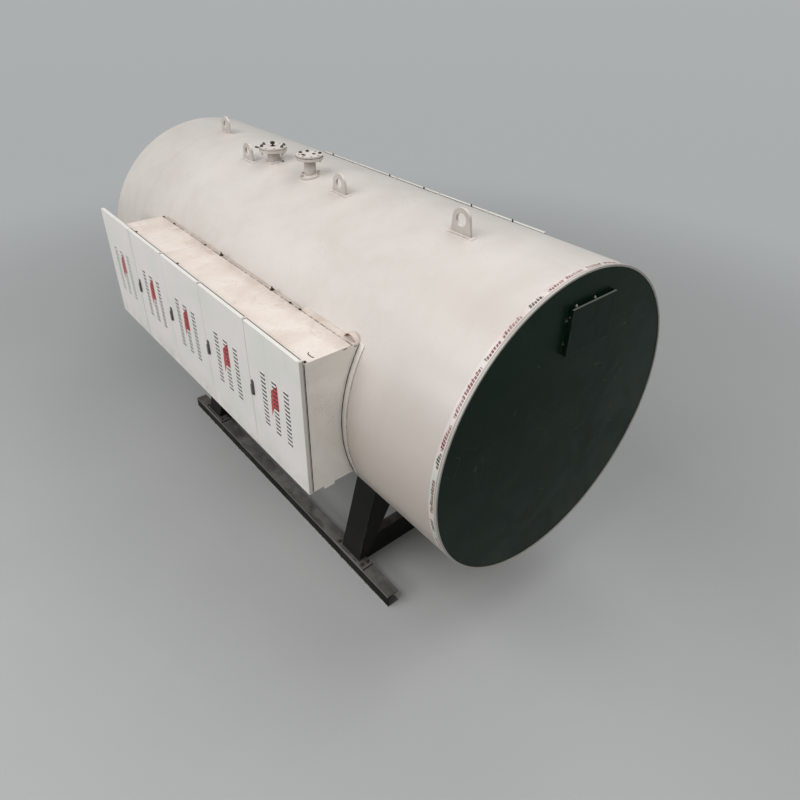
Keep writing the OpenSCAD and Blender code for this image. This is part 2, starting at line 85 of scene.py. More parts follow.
def move(tree, operation, first, second):
    return node(tree, "ShaderNodeVectorMath", {0: first, 1: second}, operation=operation).outputs[0]


def mixed(tree, factor, first, second):
    return node(tree, "ShaderNodeMix", {0: factor, 6: first, 7: second}, data_type="RGBA").outputs[2]


def fade(tree, value, low, high, start=0.0, end=1.0):
    made = node(tree, "ShaderNodeMapRange", {0: value, 1: low, 2: high, 3: start, 4: end})
    made.interpolation_type = "SMOOTHSTEP"
    return made.outputs[0]


def noise(tree, vector, scale, detail=2.0, roughness=0.5, distortion=0.0):
    values = {"Vector": vector, "Scale": scale, "Detail": detail, "Roughness": roughness, "Distortion": distortion}
    return node(tree, "ShaderNodeTexNoise", values).outputs[0]


def split(tree, vector):
    return node(tree, "ShaderNodeSeparateXYZ", {0: vector}).outputs


def joined(tree, x, y, z):
    return node(tree, "ShaderNodeCombineXYZ", {0: x, 1: y, 2: z}).outputs[0]


def effect(name, takes, gives):
    """A shader node group with named inputs and outputs: its tree, what comes in, and where results go."""
    tree = bpy.data.node_groups.new(name, "ShaderNodeTree")
    for label, value in takes.items():
        kind = "NodeSocketVector" if isinstance(value, tuple) else "NodeSocketFloat"
        tree.interface.new_socket(label, in_out="INPUT", socket_type=kind).default_value = value
    for label in gives:
        tree.interface.new_socket(label, in_out="OUTPUT", socket_type="NodeSocketFloat")
    return tree, tree.nodes.new("NodeGroupInput").outputs, tree.nodes.new("NodeGroupOutput").inputs


def use(tree, name, **values):
    """Places a shared effect in a material; Patch_Scale=3 sets its input Patch Scale."""
    made = tree.nodes.new("ShaderNodeGroup")
    made.node_tree = EFFECTS[name]
    for key, value in values.items():
        put(made.inputs[key.replace("_", " ")], value)
    return made.outputs


# shared surface effects
def cloudy_paint():
    """Slow cloudy patches and fine speckle, as rolled enamel on thin sheet has."""
    tree, given, out = effect("cloudy paint", {"Vector": (0.0, 0.0, 0.0), "Cloud Scale": 2.0, "Speck Scale": 60.0},
                              ["Cloud", "Speck"])
    broad = noise(tree, given["Vector"], given["Cloud Scale"], 4.0, 0.55, 0.6)
    put(out["Cloud"], fade(tree, broad, 0.3, 0.7))
    fine = noise(tree, given["Vector"], given["Speck Scale"], 3.0, 0.7)
    where = noise(tree, given["Vector"], times(tree, given["Cloud Scale"], 1.7), 3.0, 0.6)
    put(out["Speck"], times(tree, fade(tree, fine, 0.52, 0.72), fade(tree, where, 0.42, 0.68)))
    return tree


def sheet_ripple():
    """Height of thin sheet: long shallow waves and the peel of sprayed paint."""
    takes = {"Vector": (0.0, 0.0, 0.0), "Wave Scale": 2.5, "Wave Depth": 1.0, "Peel Scale": 240.0, "Peel Depth": 0.05}
    tree, given, out = effect("sheet ripple", takes, ["Height"])
    wave = times(tree, noise(tree, given["Vector"], given["Wave Scale"], 1.0, 0.4), given["Wave Depth"])
    peel = times(tree, noise(tree, given["Vector"], given["Peel Scale"], 2.0, 0.5), given["Peel Depth"])
    put(out["Height"], calc(tree, "ADD", wave, peel))
    return tree


def settled_dust():
    """Dust that lies on what faces up, thicker in patches."""
    tree, given, out = effect("settled dust", {"Vector": (0.0, 0.0, 0.0), "Amount": 0.5, "Patch Scale": 3.0}, ["Mask"])
    upward = split(tree, node(tree, "ShaderNodeTexCoord").outputs["Normal"])[2]
    patches = noise(tree, given["Vector"], given["Patch Scale"], 6.0, 0.65, 0.8)
    lying = times(tree, fade(tree, upward, 0.35, 0.95), fade(tree, patches, 0.25, 0.8, 0.25, 1.0))
    put(out["Mask"], times(tree, lying, given["Amount"]))
    return tree


def edge_wear():
    """Where handling and knocks take the paint off an edge."""
    takes = {"Vector": (0.0, 0.0, 0.0), "Width": 0.004, "Break Scale": 40.0, "Amount": 0.5}
    tree, given, out = effect("edge wear", takes, ["Mask"])
    rounded = node(tree, "ShaderNodeBevel", {"Radius": given["Width"]}, samples=4).outputs[0]
    plain = node(tree, "ShaderNodeNewGeometry").outputs["Normal"]
    same = node(tree, "ShaderNodeVectorMath", {0: rounded, 1: plain}, operation="DOT_PRODUCT").outputs["Value"]
    broken = noise(tree, given["Vector"], given["Break Scale"], 5.0, 0.7)
    edge = times(tree, fade(tree, same, 0.995, 0.8), fade(tree, broken, 0.38, 0.6))
    put(out["Mask"], times(tree, edge, given["Amount"]))
    return tree


def corner_shade_and_soiling():
    """Painted shade where two faces meet, read from ambient occlusion, together with the dirt that gathers there."""
    takes = {"Vector": (0.0, 0.0, 0.0), "Reach": 0.05, "Break Scale": 20.0, "Amount": 0.6}
    tree, given, out = effect("corner shade and soiling", takes, ["Mask"])
    # painted shade: the ambient occlusion darkens the colour in corners and between parts
    open_sky = node(tree, "ShaderNodeAmbientOcclusion", {"Distance": given["Reach"]}, samples=6, only_local=True)
    broken = noise(tree, given["Vector"], given["Break Scale"], 5.0, 0.65)
    deep = times(tree, fade(tree, open_sky.outputs["AO"], 0.95, 0.45), fade(tree, broken, 0.25, 0.7, 0.35, 1.0))
    put(out["Mask"], times(tree, deep, given["Amount"]))
    return tree


def run_marks():
    """Narrow streaks that run down a wall, or along it where the vector is turned."""
    takes = {"Vector": (0.0, 0.0, 0.0), "Streak Scale": 30.0, "Length Share": 0.06, "Amount": 0.5}
    tree, given, out = effect("run marks", takes, ["Mask"])
    x, y, z = split(tree, given["Vector"])
    drawn = joined(tree, x, y, times(tree, z, given["Length Share"]))
    thin = noise(tree, drawn, given["Streak Scale"], 3.0, 0.6)
    where = noise(tree, given["Vector"], 2.3, 3.0, 0.6)
    marks = times(tree, fade(tree, thin, 0.55, 0.75), fade(tree, where, 0.4, 0.7))
    put(out["Mask"], times(tree, marks, given["Amount"]))
    return tree


def hair_scratches():
    """Thin bright or dark lines with ends, lying in many directions."""
    takes = {"Vector": (0.0, 0.0, 0.0), "Line Scale": 3.0, "Line Width": 0.004, "Amount": 0.5}
    tree, given, out = effect("hair scratches", takes, ["Mask"])
    drift = noise(tree, given["Vector"], given["Line Scale"], 1.0, 0.4, 1.5)
    line = fade(tree, calc(tree, "ABSOLUTE", calc(tree, "SUBTRACT", drift, 0.5)), given["Line Width"], 0.0)
    ends = noise(tree, given["Vector"], times(tree, given["Line Scale"], 2.7), 2.0, 0.5)
    put(out["Mask"], times(tree, times(tree, line, fade(tree, ends, 0.56, 0.64)), given["Amount"]))
    return tree


EFFECTS = {make.__name__: make() for make in (cloudy_paint, sheet_ripple, settled_dust, edge_wear, corner_shade_and_soiling,
                                              run_marks, hair_scratches)}


def finish_of(name, roughness=0.45, metallic=0.0, specular=0.5, coat=0.0):
    """A new material: its tree, its shader and the object coordinates."""
    material = bpy.data.materials.new(name)
    material.use_nodes = True
    tree = material.node_tree
    tree.nodes.clear()
    shader = tree.nodes.new("ShaderNodeBsdfPrincipled")
    for label, value in {"Roughness": roughness, "Metallic": metallic, "Specular IOR Level": specular,
                         "Coat Weight": coat}.items():
        shader.inputs[label].default_value = value
    tree.links.new(shader.outputs[0], tree.nodes.new("ShaderNodeOutputMaterial").inputs["Surface"])
    return material, tree, shader, node(tree, "ShaderNodeTexCoord").outputs["Object"]


def bump(tree, shader, height, strength=1.0, distance=0.001):
    made = node(tree, "ShaderNodeBump", {"Strength": strength, "Distance": distance, "Height": height})
    put(shader.inputs["Normal"], made.outputs[0])


# finishes
def shell_enamel():
    """Off-white semi-gloss enamel on the rolled cladding, cloudy and a little dusty, with a few dull streaks, painted
    shade on the lower flank and painted shade with some dirt in corners.
    """
    material, tree, shader, at = finish_of("shell enamel", coat=0.45)
    shader.inputs["Coat Roughness"].default_value = 0.22
    clouds = use(tree, "cloudy_paint", Vector=at, Cloud_Scale=1.6, Speck_Scale=95.0)
    colour = mixed(tree, clouds["Cloud"], (0.632, 0.592, 0.554, 1), (0.732, 0.694, 0.661, 1))
    small = use(tree, "cloudy_paint", Vector=move(tree, "ADD", at, (3.1, 1.7, 0.4)), Cloud_Scale=7.0,
                Speck_Scale=260.0)
    colour = mixed(tree, times(tree, small["Cloud"], 0.30), colour, (0.747, 0.716, 0.689, 1))
    colour = mixed(tree, times(tree, clouds["Speck"], 0.38), colour, (0.540, 0.485, 0.435, 1))
    colour = mixed(tree, times(tree, small["Speck"], 0.22), colour, (0.540, 0.486, 0.441, 1))
    x, y, z = split(tree, at)
    round_axis = joined(tree, times(tree, y, 0.5), times(tree, z, 0.5), x)
    hoops = use(tree, "run_marks", Vector=joined(tree, x, 0.0, round_axis),
                Streak_Scale=26.0, Length_Share=0.02, Amount=1.0)
    near_front = times(tree, fade(tree, x, FRONT - 1.1, FRONT - 0.2), fade(tree, z, AXIS + 0.93, AXIS + 0.80))
    colour = mixed(tree, times(tree, hoops["Mask"], times(tree, near_front, 0.40)), colour,
                   (0.540, 0.491, 0.455, 1))
    colour = mixed(tree, times(tree, near_front, 0.40), colour, (0.576, 0.526, 0.486, 1))
    dust = use(tree, "settled_dust", Vector=at, Amount=0.34, Patch_Scale=2.2)
    colour = mixed(tree, dust["Mask"], colour, (0.630, 0.576, 0.526, 1))
    # painted shade: the lower flank darkens towards the bottom
    under = fade(tree, z, AXIS + 0.66, AXIS - 0.36, 0.0, 0.95)
    colour = mixed(tree, under, colour, (0.496, 0.428, 0.370, 1))
    rim = fade(tree, x, FRONT - 0.0012, FRONT - 0.0007)
    colour = mixed(tree, times(tree, rim, 0.85), colour, (0.330, 0.310, 0.290, 1))
    # painted shade with some dirt where the shell meets other parts
    grime_and_shade = use(tree, "corner_shade_and_soiling", Vector=at, Reach=0.05, Break_Scale=14.0, Amount=0.5)
    colour = mixed(tree, grime_and_shade["Mask"], colour, (0.330, 0.290, 0.250, 1))
    lines = use(tree, "hair_scratches", Vector=at, Line_Scale=1.3, Line_Width=0.0022, Amount=0.35)
    colour = mixed(tree, lines["Mask"], colour, (0.520, 0.470, 0.430, 1))
    put(shader.inputs["Base Color"], colour)
    rough = calc(tree, "ADD", fade(tree, clouds["Cloud"], 0.0, 1.0, 0.36, 0.46), times(tree, dust["Mask"], 0.5))
    put(shader.inputs["Roughness"], rough)
    ripple = use(tree, "sheet_ripple", Vector=at, Wave_Scale=2.6, Wave_Depth=3.2, Peel_Scale=300.0,
                 Peel_Depth=0.05)
    bump(tree, shader, ripple["Height"])
    return material


def painted(name, light, dark, roughness=0.42, grime_and_shade=0.5, dust=0.3, wear=0.2, bare=(0.16, 0.14, 0.12, 1),
            cloud_scale=5.0, reach=0.04, peel=0.06, coat=0.0, dirt_and_shade=(0.22, 0.18, 0.14, 1), specular=0.5, upright_shade=0.0):
    """Sprayed enamel on steel, used for the fittings and plain sheets, and for mouldings, welds and seals; upright
    faces and corners get painted shade in the dirt tone.
    """
    material, tree, shader, at = finish_of(name, roughness, specular=specular, coat=coat)
    clouds = use(tree, "cloudy_paint", Vector=at, Cloud_Scale=cloud_scale, Speck_Scale=cloud_scale * 34)
    colour = mixed(tree, clouds["Cloud"], dark, light)
    colour = mixed(tree, times(tree, clouds["Speck"], 0.3), colour, dirt_and_shade)
    # painted shade: faces that stand upright are darkened towards the dirt tone
    if upright_shade:
        level = calc(tree, "ABSOLUTE", split(tree, node(tree, "ShaderNodeTexCoord").outputs["Normal"])[2])
        colour = mixed(tree, fade(tree, level, 0.75, 0.25, 0.0, upright_shade), colour, dirt_and_shade)
    lying = use(tree, "settled_dust", Vector=at, Amount=dust, Patch_Scale=cloud_scale)
    colour = mixed(tree, lying["Mask"], colour, (0.480, 0.430, 0.370, 1))
    # painted shade with some dirt in corners, from ambient occlusion
    corner = use(tree, "corner_shade_and_soiling", Vector=at, Reach=reach, Break_Scale=22.0, Amount=grime_and_shade)
    colour = mixed(tree, corner["Mask"], colour, dirt_and_shade)
    worn = use(tree, "edge_wear", Vector=at, Width=0.003, Break_Scale=34.0, Amount=wear)
    colour = mixed(tree, worn["Mask"], colour, bare)
    put(shader.inputs["Base Color"], colour)
    rough = calc(tree, "ADD", fade(tree, clouds["Cloud"], 0.0, 1.0, roughness - 0.05, roughness + 0.07),
                 times(tree, lying["Mask"], 0.4), clamp=True)
    put(shader.inputs["Roughness"], rough)
    ripple = use(tree, "sheet_ripple", Vector=at, Wave_Scale=4.0, Wave_Depth=0.6, Peel_Scale=420.0,
                 Peel_Depth=peel)
    bump(tree, shader, calc(tree, "SUBTRACT", ripple["Height"], times(tree, worn["Mask"], 0.15)))
    return material


def top_plate_enamel():
    """The cabinet's top: the same enamel, trodden and smeared, with brown dirt towards the gutter, painted shade along
    the gutter's fold and painted shade with some dirt in corners.
    """
    material, tree, shader, at = finish_of("top plate enamel", 0.5)
    x, y, z = split(tree, at)
    clouds = use(tree, "cloudy_paint", Vector=at, Cloud_Scale=3.4, Speck_Scale=130.0)
    colour = mixed(tree, clouds["Cloud"], (0.735, 0.640, 0.575, 1), (0.840, 0.770, 0.715, 1))
    across = use(tree, "run_marks", Vector=joined(tree, x, z, y), Streak_Scale=24.0, Length_Share=0.25,
                 Amount=1.0)
    colour = mixed(tree, times(tree, across["Mask"], 0.45), colour, (0.520, 0.420, 0.350, 1))
    along = use(tree, "run_marks", Vector=joined(tree, y, z, x), Streak_Scale=30.0, Length_Share=0.2,
                Amount=1.0)
    colour = mixed(tree, times(tree, along["Mask"], 0.35), colour, (0.560, 0.450, 0.370, 1))
    blots = noise(tree, at, 6.0, 7.0, 0.75, 1.2)
    colour = mixed(tree, fade(tree, blots, 0.54, 0.72, 0.0, 0.5), colour, (0.500, 0.400, 0.330, 1))
    out = calc(tree, "ABSOLUTE", y)
    inward = fade(tree, out, 0.98, 0.87)
    colour = mixed(tree, times(tree, inward, fade(tree, noise(tree, at, 9.0, 6.0, 0.7), 0.3, 0.7, 0.1, 0.55)),
                   colour, (0.420, 0.340, 0.280, 1))
    colour = mixed(tree, times(tree, clouds["Speck"], 0.4), colour, (0.330, 0.260, 0.210, 1))
    # painted shade with some dirt in corners
    corner = use(tree, "corner_shade_and_soiling", Vector=at, Reach=0.05, Break_Scale=22.0, Amount=0.7)
    colour = mixed(tree, corner["Mask"], colour, (0.230, 0.185, 0.150, 1))
    sunk = fade(tree, z, TOP_PLATE - 0.0080, TOP_PLATE - 0.0110, 0.0, 0.30)
    colour = mixed(tree, sunk, colour, (0.400, 0.340, 0.290, 1))
    # painted shade: a dark broken line along the gutter's fold
    gutter_fold_shade = times(tree, fade(tree, out, 0.8610, 0.8650), fade(tree, out, 0.8745, 0.8710))
    crumbled = fade(tree, noise(tree, at, 34.0, 5.0, 0.7), 0.40, 0.56, 0.12, 0.85)
    colour = mixed(tree, times(tree, gutter_fold_shade, crumbled), colour, (0.100, 0.078, 0.060, 1))
    put(shader.inputs["Base Color"], colour)
    put(shader.inputs["Roughness"], fade(tree, blots, 0.3, 0.75, 0.42, 0.68))
    ripple = use(tree, "sheet_ripple", Vector=at, Wave_Scale=3.0, Wave_Depth=1.4, Peel_Scale=300.0,
                 Peel_Depth=0.06)
    bump(tree, shader, ripple["Height"])
    return material


def inside(tree, u, z, corners):
    """1 inside a convex shape on the door's face, its corners counterclockwise."""
    mask = None
    for (u0, z0), (u1, z1) in zip(corners, corners[1:] + corners[:1]):
        length = math.hypot(u1 - u0, z1 - z0)
        nu, nz = (z1 - z0) / length, -(u1 - u0) / length
        from_line = calc(tree, "ADD", times(tree, u, nu), times(tree, z, nz))
        side = fade(tree, calc(tree, "SUBTRACT", from_line, u0 * nu + z0 * nz), 0.0006, -0.0006)
        mask = side if mask is None else times(tree, mask, side)
    return mask


def door_enamel(side):
    """Smooth enamel of the doors, with a plain red zigzag sprayed over the louvres of each bay, and painted shade in
    and under the louvre slots, on the side folds and in corners.
    """
    material, tree, shader, at = finish_of(f"{side} door enamel", 0.36)
    x, y, z = split(tree, at)
    clouds = use(tree, "cloudy_paint", Vector=at, Cloud_Scale=3.0, Speck_Scale=150.0)
    colour = mixed(tree, clouds["Cloud"], (0.795, 0.800, 0.755, 1), (0.860, 0.820, 0.800, 1))
    runs = use(tree, "run_marks", Vector=at, Streak_Scale=46.0, Length_Share=0.03, Amount=0.35)
    colour = mixed(tree, runs["Mask"], colour, (0.560, 0.520, 0.470, 1))
    # painted shade: faces turned along the cabinet, the doors' side folds, are darker
    normal = node(tree, "ShaderNodeTexCoord").outputs["Normal"]
    edge = fade(tree, calc(tree, "ABSOLUTE", split(tree, normal)[0]), 0.6, 0.9)
    colour = mixed(tree, times(tree, edge, 0.55), colour, (0.440, 0.375, 0.335, 1))
    low = times(tree, fade(tree, z, DOOR_LOW + 0.16, DOOR_LOW), fade(tree, noise(tree, at, 13.0, 6.0, 0.7), 0.35, 0.7))
    colour = mixed(tree, times(tree, low, 0.35), colour, (0.430, 0.380, 0.320, 1))
    # painted shade with some dirt in corners and round the louvre slots
    corner = use(tree, "corner_shade_and_soiling", Vector=at, Reach=0.012, Break_Scale=60.0, Amount=0.75)
    colour = mixed(tree, corner["Mask"], colour, (0.160, 0.140, 0.120, 1))
    if side == "left":
        along = calc(tree, "SUBTRACT", LEFT_EDGE, x)
    else:
        along = calc(tree, "SUBTRACT", x, RIGHT_EDGE - 5 * BAY)
    u = calc(tree, "SUBTRACT", BAY / 2, calc(tree, "FLOORED_MODULO", along, BAY))
    height = calc(tree, "SUBTRACT", z, AXIS)
    upper = inside(tree, u, height, [(0.033, 0.236), (-0.045, 0.166), (-0.053, 0.083), (-0.018, 0.065), (0.033, 0.062)])
    lower = inside(tree, u, height, [(-0.054, 0.085), (-0.056, -0.013), (-0.018, 0.070)])
    depth = calc(tree, "ABSOLUTE", y)
    outside = fade(tree, depth, DOOR_FACE - 0.0022, DOOR_FACE - 0.0008)
    chipped = fade(tree, noise(tree, at, 70.0, 5.0, 0.7), 0.30, 0.42)
    columns = fade(tree, calc(tree, "PINGPONG", calc(tree, "ADD", u, 0.062), 0.062), 0.0365, 0.0375)
    within = times(tree, fade(tree, calc(tree, "ABSOLUTE", u), 0.152, 0.151),
                  fade(tree, calc(tree, "ABSOLUTE", calc(tree, "SUBTRACT", height, 0.068)), 0.190, 0.189))
    louvres = times(tree, columns, within)
    row = calc(tree, "FRACT", calc(tree, "DIVIDE", calc(tree, "SUBTRACT", height, 0.070 - 0.0180), 0.0289))
    # painted shade under each louvre slot and on each hood's slope
    below = times(tree, fade(tree, row, 0.09, 0.13), fade(tree, row, 0.68, 0.65))
    hood = times(tree, fade(tree, row, 0.62, 0.65), fade(tree, row, 0.76, 0.73, 0.0, 0.25))
    # painted shade: everything behind the door's face within the louvres made near black
    behind = fade(tree, depth, DOOR_FACE - 0.0006, DOOR_FACE - 0.0010)
    painted_slot_shade = times(tree, louvres, calc(tree, "MAXIMUM", times(tree, below, 0.95), hood))
    colour = mixed(tree, painted_slot_shade, colour, (0.030, 0.034, 0.028, 1))
    colour = mixed(tree, times(tree, louvres, behind), colour, (0.014, 0.013, 0.012, 1))
    sign = times(tree, calc(tree, "MAXIMUM", upper, lower), times(tree, outside, chipped))
    sign = times(tree, sign, calc(tree, "SUBTRACT", 1.0, times(tree, times(tree, louvres, below), 0.7)))
    red = mixed(tree, clouds["Cloud"], (0.420, 0.030, 0.040, 1), (0.520, 0.055, 0.062, 1))
    put(shader.inputs["Base Color"], mixed(tree, sign, colour, red))
    rough = fade(tree, clouds["Cloud"], 0.0, 1.0, 0.32, 0.42)
    put(shader.inputs["Roughness"], rough)
    ripple = use(tree, "sheet_ripple", Vector=at, Wave_Scale=3.5, Wave_Depth=0.5, Peel_Scale=500.0,
                 Peel_Depth=0.03)
    bump(tree, shader, calc(tree, "ADD", ripple["Height"], times(tree, sign, 0.12)))
    return material


def end_plate_enamel():
    """Dark green enamel of the end plate, nearly black, with wiping marks and a broad dull smear."""
    material, tree, shader, at = finish_of("end plate enamel", 0.4, specular=0.08)
    clouds = use(tree, "cloudy_paint", Vector=at, Cloud_Scale=1.3, Speck_Scale=120.0)
    colour = mixed(tree, clouds["Cloud"], (0.0040, 0.0150, 0.0090, 1), (0.0080, 0.0220, 0.0135, 1))
    x, y, z = split(tree, at)
    slant = joined(tree, calc(tree, "ADD", times(tree, y, 0.9), times(tree, z, 0.4)), 0.0,
                   calc(tree, "SUBTRACT", times(tree, z, 0.9), times(tree, y, 0.4)))
    wiped = use(tree, "run_marks", Vector=slant, Streak_Scale=11.0, Length_Share=0.35, Amount=1.0)
    smear = noise(tree, at, 2.1, 5.0, 0.6, 1.4)
    colour = mixed(tree, times(tree, wiped["Mask"], 0.25), colour, (0.030, 0.042, 0.034, 1))
    colour = mixed(tree, fade(tree, smear, 0.5, 0.75, 0.0, 0.22), colour, (0.034, 0.036, 0.030, 1))
    colour = mixed(tree, times(tree, clouds["Speck"], 0.25), colour, (0.110, 0.110, 0.100, 1))
    lines = use(tree, "hair_scratches", Vector=at, Line_Scale=2.4, Line_Width=0.0035, Amount=0.45)
    colour = mixed(tree, lines["Mask"], colour, (0.120, 0.135, 0.120, 1))
    worn = use(tree, "edge_wear", Vector=at, Width=0.003, Break_Scale=30.0, Amount=0.5)
    colour = mixed(tree, worn["Mask"], colour, (0.200, 0.210, 0.200, 1))
    put(shader.inputs["Base Color"], colour)
    put(shader.inputs["Roughness"], fade(tree, smear, 0.3, 0.7, 0.30, 0.46))
    ripple = use(tree, "sheet_ripple", Vector=at, Wave_Scale=2.2, Wave_Depth=0.9, Peel_Scale=380.0,
                 Peel_Depth=0.07)
    bump(tree, shader, ripple["Height"])
    return material


def bracket_enamel():
    """The end plate's green on the bracket: rubbed edges, a painted highlight on the top lip, and painted shade, black,
    in the gap between its lip and the plate.
    """
    material, tree, shader, at = finish_of("bracket enamel", 0.4, specular=0.08)
    x, y, z = split(tree, at)
    clouds = use(tree, "cloudy_paint", Vector=at, Cloud_Scale=9.0, Speck_Scale=160.0)
    colour = mixed(tree, clouds["Cloud"], (0.0055, 0.0150, 0.0098, 1), (0.0100, 0.0210, 0.0146, 1))
    colour = mixed(tree, times(tree, clouds["Speck"], 0.3), colour, (0.090, 0.090, 0.080, 1))
    worn = use(tree, "edge_wear", Vector=at, Width=0.003, Break_Scale=24.0, Amount=0.9)
    colour = mixed(tree, worn["Mask"], colour, (0.170, 0.180, 0.170, 1))
    # painted shade, black, in the gap behind the lip, and a painted highlight on the lip's top
    top = fade(tree, z, AXIS + 0.7830, AXIS + 0.7836)
    gap = times(tree, top, fade(tree, x, FRONT + 0.0172, FRONT + 0.0164))
    lip = times(tree, top, fade(tree, x, FRONT + 0.0168, FRONT + 0.0176))
    colour = mixed(tree, lip, colour, (0.150, 0.165, 0.150, 1))
    put(shader.inputs["Base Color"], mixed(tree, gap, colour, (0.0012, 0.0012, 0.0012, 1)))
    put(shader.inputs["Roughness"], fade(tree, clouds["Cloud"], 0.0, 1.0, 0.36, 0.5))
    ripple = use(tree, "sheet_ripple", Vector=at, Wave_Scale=9.0, Wave_Depth=0.3, Peel_Scale=380.0,
                 Peel_Depth=0.07)
    bump(tree, shader, ripple["Height"])
    return material


def skid_enamel():
    """Brown-black primer on rolled sections, dusty on top and rubbed at the edges, with painted shade on the outer web
    and in corners, and painted highlights along the web's lower and upper edges.
    """
    material, tree, shader, at = finish_of("skid enamel", 0.55, specular=0.15)
    clouds = use(tree, "cloudy_paint", Vector=at, Cloud_Scale=4.0, Speck_Scale=150.0)
    colour = mixed(tree, clouds["Cloud"], (0.0065, 0.0063, 0.0058, 1), (0.0150, 0.0143, 0.0132, 1))
    lying = use(tree, "settled_dust", Vector=at, Amount=0.95, Patch_Scale=5.0)
    colour = mixed(tree, lying["Mask"], colour, (0.230, 0.226, 0.212, 1))
    rust = noise(tree, at, 17.0, 8.0, 0.75, 0.6)
    colour = mixed(tree, fade(tree, rust, 0.60, 0.74, 0.0, 0.7), colour, (0.095, 0.042, 0.022, 1))
    worn = use(tree, "edge_wear", Vector=at, Width=0.004, Break_Scale=26.0, Amount=0.8)
    colour = mixed(tree, worn["Mask"], colour, (0.180, 0.160, 0.140, 1))
    # painted shade with some dirt in corners
    corner = use(tree, "corner_shade_and_soiling", Vector=at, Reach=0.05, Break_Scale=22.0, Amount=0.6)
    colour = mixed(tree, corner["Mask"], colour, (0.030, 0.024, 0.019, 1))
    x, y, z = split(tree, at)
    # painted shade: the outer web face made near black
    web = fade(tree, calc(tree, "ABSOLUTE", y), 0.7670, 0.7690)
    broken = fade(tree, noise(tree, at, 75.0, 4.0, 0.7), 0.36, 0.56)
    colour = mixed(tree, times(tree, web, 0.90), colour, (0.0050, 0.0046, 0.0044, 1))
    # painted highlights along the web's lower and upper edges
    painted_low_highlight = times(tree, times(tree, web, fade(tree, z, 0.013, 0.011)), broken)
    colour = mixed(tree, painted_low_highlight, colour, (0.420, 0.430, 0.410, 1))
    painted_top_highlight = times(tree, web, fade(tree, z, 0.0915, 0.0935))
    colour = mixed(tree, painted_top_highlight, colour, (0.210, 0.205, 0.190, 1))
    put(shader.inputs["Base Color"], colour)
    put(shader.inputs["Roughness"], fade(tree, clouds["Cloud"], 0.0, 1.0, 0.46, 0.66))
    scale = times(tree, fade(tree, rust, 0.55, 0.75), 0.5)
    ripple = use(tree, "sheet_ripple", Vector=at, Wave_Scale=7.0, Wave_Depth=0.4, Peel_Scale=330.0,
                 Peel_Depth=0.12)
    bump(tree, shader, calc(tree, "ADD", ripple["Height"], scale))
    return material


def metal(name, colour, dull, roughness=0.35, metallic=0.9):
    """Bare or plated fastener metal, dulled in patches."""
    material, tree, shader, at = finish_of(name, roughness, metallic)
    clouds = use(tree, "cloudy_paint", Vector=at, Cloud_Scale=38.0, Speck_Scale=400.0)
    tone = mixed(tree, clouds["Cloud"], dull, colour)
    put(shader.inputs["Base Color"], mixed(tree, times(tree, clouds["Speck"], 0.5), tone, (0.10, 0.07, 0.05, 1)))
    put(shader.inputs["Roughness"], fade(tree, clouds["Cloud"], 0.0, 1.0, roughness + 0.2, roughness))
    ripple = use(tree, "sheet_ripple", Vector=at, Wave_Scale=60.0, Wave_Depth=0.1, Peel_Scale=900.0,
                 Peel_Depth=0.05)
    bump(tree, shader, ripple["Height"])
    return material


def weld_metal(name, colour, dull):
    """A weld bead under paint: the ripples are in the mesh, the spatter in the bump."""
    return painted(name, colour, dull, 0.48, grime_and_shade=0.3, dust=0.25, wear=0.1, cloud_scale=30.0, peel=0.2)


